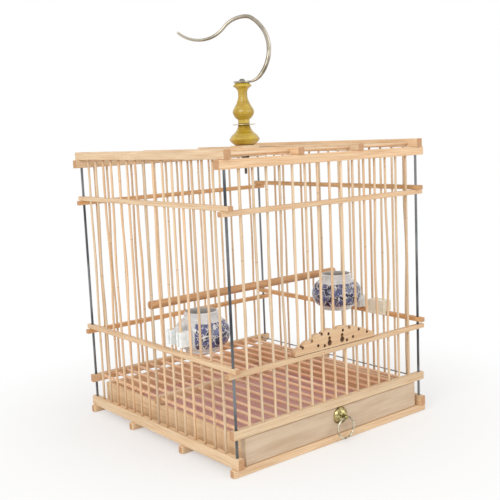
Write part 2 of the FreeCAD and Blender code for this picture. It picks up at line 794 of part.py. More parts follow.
def door_outline(size):
    """Cusps of the carved plate from its right end to its middle."""
    return [
        (size["door_plate_half"], size["door_plate_end"]),
        (size["door_cusp1_x"], size["door_cusp1_z"]),
        (size["door_cusp2_x"], size["door_cusp2_z"]),
        (size["door_cusp3_x"], size["door_cusp3_z"]),
        (0, size["door_cusp_mid_z"]),
    ]


def outline_height(cusps, x):
    """Height of the straight line between the two cusps beside a place."""
    spot = abs(x)
    for (far, low), (near, high) in zip(cusps, cusps[1:]):
        if near <= spot <= far:
            return low + (high - low) * (far - spot) / (far - near)
    return cusps[0][1]


def build_door():
    """Carved plate with scalloped top and the sticks that lift with it."""
    size = {name: value(name) for name in SIZES}
    cusps = door_outline(size)
    thick = size["door_plate_thick"]
    corners = [(-size["door_plate_half"], 0), (size["door_plate_half"], 0)]
    tops = cusps + [(-x, z) for x, z in cusps[-2::-1]]
    points = [FreeCAD.Vector(x, thick / 2, z) for x, z in corners + tops]
    edges = [Part.LineSegment(points[0], points[1]).toShape(),
             Part.LineSegment(points[1], points[2]).toShape()]
    for start, end in zip(points[2:], points[3:]):
        middle = (start + end) / 2
        along = (end - start).normalize()
        lobe = FreeCAD.Vector(along.z, 0, -along.x)
        edges.append(Part.Arc(start, middle + lobe * size["door_lobe"], end).toShape())
    edges.append(Part.LineSegment(points[-1], points[0]).toShape())
    plate = Part.Face(Part.Wire(edges)).extrude(FreeCAD.Vector(0, -thick, 0))
    back = FreeCAD.Vector(0, -1, 0)
    eyelet = size["door_eyelet_dia"] / 2
    notch = size["door_notch_dia"] / 2
    rounds = [(size["door_eyelet%d_x" % number], size["door_eyelet%d_z" % number], eyelet)
              for number in (1, 2, 3)]
    rounds += [(x, z, notch) for x, z in cusps[1:-1]]
    tools = []
    for side in (-1, 1):
        for x, z, radius in rounds:
            spot = FreeCAD.Vector(side * x, thick / 2, z)
            tools.append(Part.makeCylinder(radius, thick, spot, back))
        gourd_x = side * size["door_gourd_x"]
        low = FreeCAD.Vector(gourd_x, thick / 2, size["door_gourd_z"])
        high = low + FreeCAD.Vector(0, 0, size["door_gourd_rise"])
        neck = size["door_gourd_neck"]
        tools.append(Part.makeCylinder(size["door_gourd_dia"] / 2, thick, low, back))
        tools.append(Part.makeCylinder(neck / 2, thick, high, back))
        tools.append(Part.makeBox(neck, thick, size["door_gourd_rise"],
                                  low - FreeCAD.Vector(neck / 2, thick, 0)))
    places = [value(stick_at("rod_span_x", number)) for number in DOOR_STICKS]
    radius = size["stick_dia"] / 2
    plate_top = size["door_cusp_mid_z"] + size["door_lobe"]
    top = value("top_bar_z + top_bar_height") - value(DOOR_Z) - size["edge_ease"]
    sticks = []
    for x in places:
        foot = outline_height(cusps, x) - size["door_seat"]
        foot = max(foot, size["edge_ease"])
        spot = FreeCAD.Vector(x, 0, foot)
        sticks.append(Part.makeCylinder(radius, top - foot, spot))
        tools.append(Part.makeCylinder(radius + size["hole_play"], plate_top, spot))
    base = (0, value("-" + ROD_Y), value(DOOR_Z))
    feature("door_plate", plate.cut(tools), base)
    feature("door_sticks", Part.makeCompound(sticks), base)


def build_drawer():
    """Open drawer box under the floor, with a domed boss and a ring pull."""
    width = "2 * (%s)" % DRAWER_HALF
    tall = "%s - (%s)" % (DRAWER_TOP, DRAWER_Z)
    front = bar("drawer_front", "X", width, "drawer_front_thick", tall)
    place(front, "0", DRAWER_FACE_Y + " + drawer_front_thick / 2", DRAWER_Z)
    inside = DRAWER_DEPTH + " - drawer_front_thick"
    middle = DRAWER_FACE_Y + " + drawer_front_thick + (%s) / 2" % inside
    bottom = bar("drawer_bottom", "Y", inside, width, "drawer_bottom_thick")
    place(bottom, "0", middle, DRAWER_Z)
    wall_z = DRAWER_Z + " + drawer_bottom_thick"
    wall_tall = tall + " - drawer_bottom_thick - drawer_wall_drop"
    for side, sign in SIDES:
        wall = bar("drawer_side_" + side, "Y", inside, "drawer_wall", wall_tall)
        place(wall, "%s(%s - drawer_wall / 2)" % (sign, DRAWER_HALF), middle, wall_z)
    back = bar("drawer_back", "X", width + " - 2 * drawer_wall", "drawer_wall", wall_tall)
    place(back, "0", ROD_Y + " - drawer_back_gap - drawer_wall / 2", wall_z)
    build_pull()


def build_pull():
    """Domed brass boss with an eyelet in its post, and the ring through it."""
    size = {name: value(name) for name in SIZES}
    boss = size["boss_radius"]
    rim = size["boss_rim"]
    rise = size["boss_rise"]
    post = size["post_radius"]
    length = size["post_length"]
    shape = turned_shape([
        (0, 0), (boss, 0), (boss, rim),
        (0.78 * boss, rim + 0.64 * (rise - rim), post, rise),
        (post, length - post), (0.8 * post, length - 0.3 * post, 0.25 * post, length),
        (0, length)])
    hole = Part.makeCylinder(size["eyelet_radius"], 4 * post,
                             FreeCAD.Vector(-2 * post, 0, size["eyelet_out"]),
                             FreeCAD.Vector(1, 0, 0))
    face = value(DRAWER_FACE_Y)
    side = FreeCAD.Vector(1, 0, 0)
    feature("pull_boss", shape.cut(hole), (size["pull_x"], face, size["pull_z"]), 90, side)
    ring = doc.addObject("Part::Torus", "Torus")
    tie(ring, "Radius1", "ring_radius")
    tie(ring, "Radius2", "ring_wire_dia / 2")
    ring.Placement = FreeCAD.Placement(FreeCAD.Vector(), FreeCAD.Rotation(side, 90))
    place(ring, "pull_x", DRAWER_FACE_Y + " - eyelet_out", "pull_z - ring_radius")
    node("pull_ring", ring)


def build_perch():
    """Round perch whose slotted ends grip a stick of each side wall."""
    body = doc.addObject("PartDesign::Body", "Body")
    sketch = add_sketch(body, "YZ_Plane")
    draw_circles(sketch, [("0", "0")], "perch_dia / 2")
    add_pad(body, sketch, "rod_span_x + 2 * perch_prong", both_ways=True)
    for turn in (90, -90):
        slot = add_sketch(body, "XY_Plane")
        draw_rectangle(slot, "stick_dia + 2 * hole_play", "stick_dia / 2 + perch_prong + 2 * hole_play",
                       "rod_span_x / 2 - stick_dia / 2 - hole_play")
        spin = FreeCAD.Rotation(UP, turn)
        slot.AttachmentOffset = FreeCAD.Placement(FreeCAD.Vector(), spin)
        cut_pocket(body, slot)
    node("perch", body)
    place(body, "0", stick_at("rod_span_y", "perch_stick_count"), "perch_z")


def cup_shape(size, inset, arm_z):
    """Round-bellied cup with a flat back and a hooked arm behind it.

    The arm lies on the bracket's top edge and its lip hangs behind the bracket.
    """
    wall = size["cup_wall"]
    foot = size["cup_foot_radius"]
    belly = size["cup_belly_radius"]
    belly_z = size["cup_belly_z"]
    neck = size["cup_neck_radius"]
    neck_z = size["cup_neck_z"]
    rim = size["cup_rim_radius"]
    tall = size["cup_height"]
    floor = size["cup_floor"]
    outer = turned_shape([
        (0, 0), (foot, 0), (foot + wall / 3, wall), (belly, belly_z, neck, neck_z),
        (neck - wall / 4, (neck_z + tall) / 2, rim - wall / 2, tall - wall / 2),
        (rim - wall, tall), (0, tall)])
    hollow = turned_shape([
        (0, floor), (foot - wall, floor), (belly - wall, belly_z, neck - wall, neck_z),
        (neck - 1.25 * wall, (neck_z + tall) / 2, rim - 1.5 * wall, tall), (0, tall)])
    reach = 2 * belly
    keep = Part.makeBox(reach, reach, tall, FreeCAD.Vector(-size["cup_back"], -belly, 0))
    room = keep.translated(FreeCAD.Vector(wall, 0, 0))
    cup = outer.common(keep).cut(hollow.common(room))
    half = size["arm_width"] / 2
    lip_x = size["lip_out"] - inset
    arm_long = inset - size["cup_back"] - size["lip_out"] + wall / 2
    arm = Part.makeBox(arm_long, 2 * half, size["arm_height"], FreeCAD.Vector(lip_x, -half, arm_z))
    lip = Part.makeBox(size["lip_thick"], 2 * half, size["lip_drop"] + size["arm_height"],
                       FreeCAD.Vector(lip_x, -half, arm_z - size["lip_drop"]))
    return cup.fuse([arm, lip]).removeSplitter()


def build_cups():
    """The two cups on their brackets, and a spare holder on the right sticks."""
    size = {name: value(name) for name in SIZES}
    low_stick = stick_at("rod_span_y", "cup_stick_count")
    high_stick = stick_at("rod_span_y", "(cup_stick_count + 1)")
    hang_y = stick_at("rod_span_y", "(cup_stick_count + 0.5)")
    pocket = "(arm_width / 2 + lip_play)"
    low = low_stick + " - bracket_margin"
    high = high_stick + " + bracket_margin"
    clips = [(low_stick, low, "%s - %s" % (hang_y, pocket)),
             (high_stick, "%s + %s" % (hang_y, pocket), high)]
    for side, sign, turn in (("left", "-", 0), ("right", "", 180)):
        inset = size["cup_%s_inset" % side]
        shape = cup_shape(size, inset, size["cup_%s_arm_z" % side])
        x = value("%s(rod_span_x / 2 - cup_%s_inset)" % (sign, side))
        feature("cup_" + side, shape, (x, value(hang_y), size["cup_%s_z" % side]), turn)
        top = "cup_%s_z + cup_%s_arm_z - seat_gap" % (side, side)
        tall = "bracket_%s_height" % side
        build_holder("cup_bracket_" + side, sign, (low, high), clips, top, tall, tall)
    stick = stick_at("rod_span_y", "spare_stick_count")
    ends = (stick + " - spare_front", stick + " + spare_rear")
    build_holder("spare_holder", "", ends, [(stick,) + ends], "spare_top_z",
                 "spare_height", "spare_clip_height")


def build_holder(label, sign, ends, clips, top, tall, clip_tall):
    """Plate inside the side sticks with blocks that snap round some of them.

    Each clip gives its stick's place and the two ends of its block along Y.
    """
    near = "lip_out + lip_thick + lip_play"

    def inward(start, depth):
        """Low X of a box between two distances from the stick plane."""
        if sign == "-":
            return "-rod_span_x / 2 + " + start
        return "rod_span_x / 2 - (%s) - (%s)" % (start, depth)

    plate = block(inward(near, "bracket_thick"), ends[0], "%s - %s" % (top, tall),
                  "bracket_thick", "%s - (%s)" % (ends[1], ends[0]), tall)
    solids = [plate]
    holes = []
    clip_low = "%s - %s" % (top, clip_tall)
    depth = "clip_out + %s + bracket_thick / 2" % near
    for y, low, high in clips:
        solids.append(block(inward("(-clip_out)", depth), low, clip_low,
                            depth, "%s - (%s)" % (high, low), clip_tall))
        holes.append(pin(sign + ROD_X, y, clip_low, HOLE, clip_tall))
        holes.append(block(inward("(-clip_out)", "clip_out"), y + " - clip_slot / 2", clip_low,
                           "clip_out", "clip_slot", clip_tall))
    node(label, cut(fuse(solids), fuse(holes)))


def check_and_write():
    """Stop on any failed object or shape, then write a file for each piece."""
    doc.recompute()
    for item in doc.Objects:
        if "Invalid" in item.State or "Error" in item.State:
            raise RuntimeError("%s failed: %s" % (item.Label, item.State))
    for label, item in NODES.items():
        shape = item.Shape
        if shape.isNull() or not shape.isValid() or not shape.Solids:
            raise RuntimeError("%s has no valid solid" % label)
    os.makedirs("parts", exist_ok=True)
    for label, item in NODES.items():
        item.Shape.exportStep("parts/%s.step" % label)
        box = item.Shape.BoundBox
        print("%-22s solids %2d volume %9.1f  X %7.1f %7.1f  Y %7.1f %7.1f  Z %6.1f %6.1f" % (
            label, len(item.Shape.Solids), item.Shape.Volume,
            box.XMin, box.XMax, box.YMin, box.YMax, box.ZMin, box.ZMax))
    print(len(NODES), "pieces")


build_base()
build_floor()
build_belts()
build_roof()
build_walls()
build_finial()
build_hook()
build_door()
build_drawer()
build_perch()
build_cups()
check_and_write()
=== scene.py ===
"""Square bamboo bird cage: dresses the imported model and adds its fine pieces."""

import logging
import math
from dataclasses import dataclass
from enum import IntEnum
from random import Random
from typing import Any, Iterable, Optional, Sequence, Union

import bmesh
import bpy
from mathutils import Matrix, Vector


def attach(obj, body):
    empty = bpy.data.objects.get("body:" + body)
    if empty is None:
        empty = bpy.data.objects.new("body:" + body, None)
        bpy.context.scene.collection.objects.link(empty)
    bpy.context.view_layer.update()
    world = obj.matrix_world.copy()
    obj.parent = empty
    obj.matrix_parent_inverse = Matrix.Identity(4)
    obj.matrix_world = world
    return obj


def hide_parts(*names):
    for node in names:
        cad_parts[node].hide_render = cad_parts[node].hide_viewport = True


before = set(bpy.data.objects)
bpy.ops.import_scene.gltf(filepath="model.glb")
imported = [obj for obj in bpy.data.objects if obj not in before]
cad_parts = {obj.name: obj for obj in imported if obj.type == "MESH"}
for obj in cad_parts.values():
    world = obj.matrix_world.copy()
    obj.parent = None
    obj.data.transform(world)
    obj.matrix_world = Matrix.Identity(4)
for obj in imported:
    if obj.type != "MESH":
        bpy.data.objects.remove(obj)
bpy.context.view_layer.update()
LOG = logging.getLogger("bird_cage")
MM = 0.001

Tree = bpy.types.NodeTree
Socket = bpy.types.NodeSocket
Source = Union[Socket, float, Sequence[float]]
Triple = tuple[float, float, float]
# Settings of a range with soft ends and of a mix of two colours.
SMOOTH = {"interpolation_type": "SMOOTHSTEP"}
BLEND = {"output": 2, "data_type": "RGBA"}


class Along(IntEnum):
    """Axis that a bar, board or stick runs along."""

    X = 0
    Y = 1
    Z = 2


def linear(code: str) -> tuple[float, float, float, float]:
    """Turn an sRGB hex colour into the linear colour that a shader reads.

    Args:
        code: Six hex digits.

    Returns:
        Linear red, green and blue with an alpha of one.
    """
    parts = [int(code[i:i + 2], 16) / 255 for i in (0, 2, 4)]
    curve = [c / 12.92 if c <= 0.04045 else ((c + 0.055) / 1.055) ** 2.4 for c in parts]
    return (curve[0], curve[1], curve[2], 1.0)


def add_node(tree: Tree, kind: str, inputs: Optional[dict[Any, Source]] = None, output: Any = 0,
             **settings: Any) -> Optional[Socket]:
    """Add one node with its settings, links and constants.

    Args:
        tree: Node tree that gets the node.
        kind: Node type name without its ShaderNode prefix.
        inputs: Socket name or number to another node's output or a constant.
        output: Name or number of the output to hand back.
        settings: Attributes of the node itself.

    Returns:
        The chosen output, or None for a node without outputs.
    """
    node = tree.nodes.new("ShaderNode" + kind)
    for name, setting in settings.items():
        setattr(node, name, setting)
    for key, source in (inputs or {}).items():
        if isinstance(source, Socket):
            tree.links.new(source, node.inputs[key])
        else:
            node.inputs[key].default_value = source
    return node.outputs[output] if len(node.outputs) else None


def cells(tree: Tree, cell_mm: Sequence[float], from_mm: Sequence[float] = (0, 0, 0)) -> Socket:
    """Object coordinates counted in cells of a real size.

    Args:
        tree: Node tree that gets the nodes.
        cell_mm: Size of a cell along each axis.
        from_mm: Place where the count is zero.

    Returns:
        The coordinate vector.
    """
    place = add_node(tree, "TexCoord", output="Object")
    start, cell = ([size * MM for size in sizes] for sizes in (from_mm, cell_mm))
    moved = add_node(tree, "VectorMath", {0: place, 1: start}, operation="SUBTRACT")
    return add_node(tree, "VectorMath", {0: moved, 1: cell}, operation="DIVIDE")


def tones(tree: Tree, pattern: Socket, low: float, high: float, dark: str, light: str) -> Socket:
    """Colours between two paints where a pattern runs between two levels.

    Args:
        tree: Node tree that gets the nodes.
        pattern: Value that chooses the colour.
        low: Level of the dark paint.
        high: Level of the light paint.
        dark: Hex colour at the low level.
        light: Hex colour at the high level.

    Returns:
        The colour.
    """
    share = add_node(tree, "MapRange", {0: pattern, 1: low, 2: high}, **SMOOTH)
    return add_node(tree, "Mix", {0: share, 6: linear(dark), 7: linear(light)}, **BLEND)


@dataclass(frozen=True)
class Finish:
    """A procedural finish that becomes one material."""

    name: str

    def surface(self, tree: Tree) -> dict[str, Source]:
        """Values and links for the sockets of the main shader."""
        raise NotImplementedError

    def build(self) -> bpy.types.Material:
        """Make the material.

        Returns:
            A new material with the finish's surface.
        """
        material = bpy.data.materials.new(self.name)
        material.use_nodes = True
        tree = material.node_tree
        tree.nodes.clear()
        shader = add_node(tree, "BsdfPrincipled", self.surface(tree))
        add_node(tree, "OutputMaterial", {"Surface": shader})
        return material


@dataclass(frozen=True)
class Bamboo(Finish):
    """Split and planed bamboo, sanded and left bare."""

    # Gives the eye straight fibres, short dark pores, a satin sheen and a tint for each piece.
    along: Along = Along.Z
    light: str = "EFD6B2"
    shade: str = "D9B187"
    end: str = "C79A70"
    pore: str = "9A633F"
    warm: str = "F8DEC6"
    # Fibres and pores are about twice as coarse as real ones, so that they show.
    fibre_mm: tuple[float, float] = (0.6, 48.0)
    pore_mm: tuple[float, float] = (0.4, 7.0)
    cloud_mm: tuple[float, float] = (9.0, 75.0)
    pith_mm: float = 0.9
    ring_mm: float = 1.1
    pore_share: float = 0.32
    ring_share: float = 0.45
    warm_share: float = 0.5
    # Grid whose cells each hold one piece, and where it starts.
    cell_mm: Triple = (70.0, 70.0, 50.0)
    from_mm: Triple = (-100.0, -100.0, 30.0)
    spread: float = 0.13
    joint_mm: float = 0.0

    def grain(self, across_mm: float, long_mm: float) -> list[float]:
        """Cell of a pattern that is drawn out along the piece."""
        cell = [across_mm] * 3
        cell[self.along] = long_mm
        return cell

    def surface(self, tree: Tree) -> dict[str, Source]:
        """Fibres along the piece, short dark pores, a tint for each piece and darker sawn ends."""
        fibre = add_node(tree, "TexNoise", {
            "Vector": cells(tree, self.grain(*self.fibre_mm)), "Scale": 1.0, "Detail": 3.0,
            "Roughness": 0.6})
        cloud = add_node(tree, "TexNoise", {
            "Vector": cells(tree, self.grain(*self.cloud_mm)), "Scale": 1.0, "Detail": 2.0})
        dash = add_node(tree, "TexNoise", {
            "Vector": cells(tree, self.grain(*self.pore_mm)), "Scale": 1.0, "Detail": 1.0})
        wood = tones(tree, fibre, 0.32, 0.66, self.shade, self.light)
        pores = add_node(tree, "MapRange", {0: dash, 1: 0.66, 2: 0.76, 4: self.pore_share}, **SMOOTH)
        wood = add_node(tree, "Mix", {0: pores, 6: wood, 7: linear(self.pore)}, **BLEND)
        cell = self.piece(tree)
        chance = add_node(tree, "TexWhiteNoise", {"Vector": cell}, "Value", noise_dimensions="3D")
        hue = add_node(tree, "TexWhiteNoise", {"Vector": cell, "W": 5.0}, "Value", noise_dimensions="4D")
        own = add_node(tree, "MapRange", {0: chance, 3: 1.0 - self.spread, 4: 1.0 + 0.3 * self.spread})
        soft = add_node(tree, "MapRange", {0: cloud, 1: 0.3, 2: 0.7, 3: 0.94, 4: 1.04}, **SMOOTH)
        value = add_node(tree, "Math", {0: own, 1: soft}, operation="MULTIPLY")
        wood = add_node(tree, "HueSaturation", {"Value": value, "Color": wood})
        blush = add_node(tree, "MapRange", {0: hue, 1: 0.45, 4: self.warm_share})
        wood = add_node(tree, "Mix", {0: blush, 6: wood, 7: linear(self.warm)},
                        blend_type="MULTIPLY", **BLEND)
        height = fibre
        if self.joint_mm:
            ring = self.joint(tree, chance)
            faint = add_node(tree, "Math", {0: ring, 1: self.ring_share}, operation="MULTIPLY")
            wood = add_node(tree, "Mix", {0: faint, 6: wood, 7: linear(self.pore)}, **BLEND)
            height = add_node(tree, "Math", {0: ring, 1: 1.5, 2: fibre}, operation="MULTIPLY_ADD")
        pith = add_node(tree, "TexVoronoi", {"Vector": cells(tree, (self.pith_mm,) * 3), "Scale": 1.0})
        sawn = tones(tree, pith, 0.1, 0.5, self.pore, self.end)
        wood = add_node(tree, "Mix", {0: self.sawn_end(tree), 6: wood, 7: sawn}, **BLEND)
        rough = add_node(tree, "MapRange", {0: fibre, 1: 0.3, 2: 0.7, 3: 0.62, 4: 0.44}, **SMOOTH)
        bump = add_node(tree, "Bump", {"Strength": 0.35, "Distance": 0.15 * MM, "Height": height})
        return {"Base Color": wood, "Roughness": rough, "Normal": bump, "IOR": 1.48}

    def piece(self, tree: Tree) -> Socket:
        """Whole-number place of each piece across its run, the same all over one piece."""
        count = cells(tree, self.cell_mm, self.from_mm)
        number = add_node(tree, "VectorMath", {0: count}, operation="FLOOR")
        keep = [1.0, 1.0, 1.0]
        keep[self.along] = 0.0
        # The node also adds zero, which makes a negative zero a plain one, so a piece has one random number.
        return add_node(tree, "VectorMath", {0: number, 1: keep}, operation="MULTIPLY_ADD")

    def joint(self, tree: Tree, chance: Socket) -> Socket:
        """Narrow ring where the culm had a joint, at another place on each stick.

        Args:
            tree: Node tree that gets the nodes.
            chance: Random number of the stick.

        Returns:
            One at the ring and zero away from it.
        """
        count = add_node(tree, "SeparateXYZ", {0: cells(tree, (self.joint_mm,) * 3)}, int(self.along))
        place = add_node(tree, "Math", {0: chance, 1: 7.0, 2: count}, operation="MULTIPLY_ADD")
        swing = add_node(tree, "Math", {0: place, 1: 0.5}, operation="PINGPONG")
        wide = self.ring_mm / self.joint_mm
        return add_node(tree, "MapRange", {0: swing, 2: wide, 3: 1.0, 4: 0.0}, **SMOOTH)

    def sawn_end(self, tree: Tree) -> Socket:
        """One on the sawn ends, which face along the piece, and zero elsewhere."""
        normal = add_node(tree, "NewGeometry", output="True Normal")
        facing = add_node(tree, "SeparateXYZ", {0: normal}, int(self.along))
        size = add_node(tree, "Math", {0: facing}, operation="ABSOLUTE")
        return add_node(tree, "MapRange", {0: size, 1: 0.8, 2: 0.95}, **SMOOTH)


@dataclass(frozen=True)
class BambooWithPaintedShade(Bamboo):
    """Carved bamboo plate, with painted shade in its holes and along its foot."""

    # Gives the eye plain bamboo with uneven painted shade in the holes and along the foot, where it meets
    # the rail.
    painted_shade: str = "5A3A22"
    foot_mm: float = 115.0
    edge_mm: float = 0.8
    patch_mm: float = 2.2
    holes_mm: tuple[Triple, ...] = ()

    def surface(self, tree: Tree) -> dict[str, Source]:
        """The bamboo's own surface, with painted shade in and round the holes and along the foot."""
        sockets = super().surface(tree)
        place = cells(tree, (1.0, 1.0, 1.0), (0.0, 0.0, self.foot_mm))
        half = add_node(tree, "VectorMath", {0: place}, operation="ABSOLUTE")
        flat = add_node(tree, "VectorMath", {0: half, 1: (1.0, 0.0, 1.0)}, operation="MULTIPLY")
        painted_shade_mask: Source = 0.0
        # Painted shade: dark brown inside each hole, fading out just past its rim.
        for across, up, radius in self.holes_mm:
            spot = (across, 0.0, up)
            far = add_node(tree, "VectorMath", {0: flat, 1: spot}, "Value", operation="DISTANCE")
            edge = {0: far, 1: radius, 2: radius + self.edge_mm, 3: 0.9, 4: 0.0}
            rim = add_node(tree, "MapRange", edge, **SMOOTH)
            painted_shade_mask = add_node(tree, "Math", {0: rim, 1: painted_shade_mask}, operation="MAXIMUM")
        height = add_node(tree, "SeparateXYZ", {0: place}, "Z")
        # Painted shade along the foot, where the plate meets the rail.
        foot = add_node(tree, "MapRange", {0: height, 1: 0.3, 2: 0.9, 3: 1.0, 4: 0.0}, **SMOOTH)
        painted_shade_mask = add_node(tree, "Math", {0: painted_shade_mask, 1: foot}, operation="MAXIMUM")
        patch = add_node(tree, "TexNoise", {
            "Vector": cells(tree, (self.patch_mm,) * 3), "Scale": 1.0, "Detail": 2.0})
        uneven = add_node(tree, "MapRange", {0: patch, 1: 0.3, 2: 0.6, 3: 0.55, 4: 1.0}, **SMOOTH)
        share = add_node(tree, "Math", {0: painted_shade_mask, 1: uneven}, operation="MULTIPLY")
        bare = sockets["Base Color"]
        sockets["Base Color"] = add_node(tree, "Mix", {0: share, 6: bare, 7: linear(self.painted_shade)}, **BLEND)
        return sockets


@dataclass(frozen=True)
class Board(Finish):
    """Sawn softwood board, bare or thinly painted."""

    # Gives the eye long streaks, soft stains and a dry surface.
    along: Along
    light: str
    shade: str
    stain: str
    streak_mm: float = 2.4
    streak_long_mm: float = 110.0
    stain_mm: tuple[float, float] = (13.0, 70.0)
    stain_share: float = 0.4
    rough: float = 0.62

    def surface(self, tree: Tree) -> dict[str, Source]:
        """Long grain streaks over broad stains."""
        fine = [self.streak_mm] * 3
        fine[self.along] = self.streak_long_mm
        broad = [self.stain_mm[0]] * 3
        broad[self.along] = self.stain_mm[1]
        streak = add_node(tree, "TexNoise", {
            "Vector": cells(tree, fine), "Scale": 1.0, "Detail": 5.0, "Roughness": 0.62,
            "Distortion": 0.35})
        cloud = add_node(tree, "TexNoise", {"Vector": cells(tree, broad), "Scale": 1.0, "Detail": 3.0})
        wood = tones(tree, streak, 0.28, 0.68, self.shade, self.light)
        share = add_node(tree, "MapRange", {0: cloud, 1: 0.46, 2: 0.72, 4: self.stain_share}, **SMOOTH)
        wood = add_node(tree, "Mix", {0: share, 6: wood, 7: linear(self.stain)}, **BLEND)
        dry = {0: streak, 1: 0.3, 2: 0.7, 3: self.rough + 0.1, 4: self.rough - 0.08}
        rough = add_node(tree, "MapRange", dry, **SMOOTH)
        bump = add_node(tree, "Bump", {"Strength": 0.3, "Distance": 0.2 * MM, "Height": streak})
        return {"Base Color": wood, "Roughness": rough, "Normal": bump, "IOR": 1.47}


@dataclass(frozen=True)
class Metal(Finish):
    """Drawn, cast or polished metal."""

    # Gives the eye a clear shine with fine marks along the piece and dull patches.
    bright: str
    dull: str
    along: Along = Along.Z
    rough: float = 0.28
    patch_mm: float = 8.0
    # Marks of drawing and wear are coarser than real ones, so that they show.
    mark_mm: tuple[float, float] = (0.45, 26.0)

    def surface(self, tree: Tree) -> dict[str, Source]:
        """Patchy metal with fine marks along the piece."""
        cell = [self.mark_mm[0]] * 3
        cell[self.along] = self.mark_mm[1]
        marks = add_node(tree, "TexNoise", {"Vector": cells(tree, cell), "Scale": 1.0, "Detail": 2.0})
        patch = add_node(tree, "TexNoise", {
            "Vector": cells(tree, (self.patch_mm,) * 3), "Scale": 1.0, "Detail": 3.0})
        colour = tones(tree, patch, 0.34, 0.62, self.dull, self.bright)
        worn = {0: patch, 1: 0.3, 2: 0.7, 3: self.rough + 0.12, 4: self.rough - 0.06}
        rough = add_node(tree, "MapRange", worn, **SMOOTH)
        bump = add_node(tree, "Bump", {"Strength": 0.12, "Distance": 0.15 * MM, "Height": marks})
        return {"Base Color": colour, "Metallic": 1.0, "Roughness": rough, "Normal": bump}


@dataclass(frozen=True)
class Lacquer(Finish):
    """Mustard lacquer on turned wood."""

    # Gives the eye a glossy coat with faint turning lines and painted shade in the grooves.
    light: str = "CDB03A"
    shade: str = "AE8C1E"
    groove: str = "4F3708"
    # Turning lines are about twice as far apart as real ones, so that they show.
    line_mm: Triple = (24.0, 24.0, 1.3)
    cloud_mm: float = 12.0
    # Heights of the grooves at the foot and on both sides of the disc, and reach of the painted shade in
    # them.
    grooves_mm: tuple[float, ...] = (352.0, 377.2, 378.8)
    groove_mm: tuple[float, float] = (0.2, 1.5)

    def surface(self, tree: Tree) -> dict[str, Source]:
        """Lacquer that varies up and round the turning, with painted shade in the grooves."""
        lines = add_node(tree, "TexNoise", {
            "Vector": cells(tree, self.line_mm), "Scale": 1.0, "Detail": 2.0})
        cloud = add_node(tree, "TexNoise", {
            "Vector": cells(tree, (self.cloud_mm,) * 3), "Scale": 1.0, "Detail": 3.0})
        both = add_node(tree, "Mix", {0: 0.65, 2: lines, 3: cloud})
        paint = tones(tree, both, 0.36, 0.62, self.shade, self.light)
        height = add_node(tree, "SeparateXYZ", {0: cells(tree, (1.0, 1.0, 1.0))}, "Z")
        deep, clear = self.groove_mm
        # Painted shade: a narrow darker band at each groove.
        for groove in self.grooves_mm:
            near = add_node(tree, "Math", {0: height, 1: groove}, operation="SUBTRACT")
            near = add_node(tree, "Math", {0: near}, operation="ABSOLUTE")
            share = add_node(tree, "MapRange", {0: near, 1: deep, 2: clear, 3: 0.8, 4: 0.0}, **SMOOTH)
            paint = add_node(tree, "Mix", {0: share, 6: paint, 7: linear(self.groove)}, **BLEND)
        rough = add_node(tree, "MapRange", {0: cloud, 1: 0.3, 2: 0.7, 3: 0.42, 4: 0.3}, **SMOOTH)
        bump = add_node(tree, "Bump", {"Strength": 0.12, "Distance": 0.2 * MM, "Height": lines})
        return {"Base Color": paint, "Roughness": rough, "Normal": bump, "IOR": 1.5,
                "Coat Weight": 0.55, "Coat Roughness": 0.12}


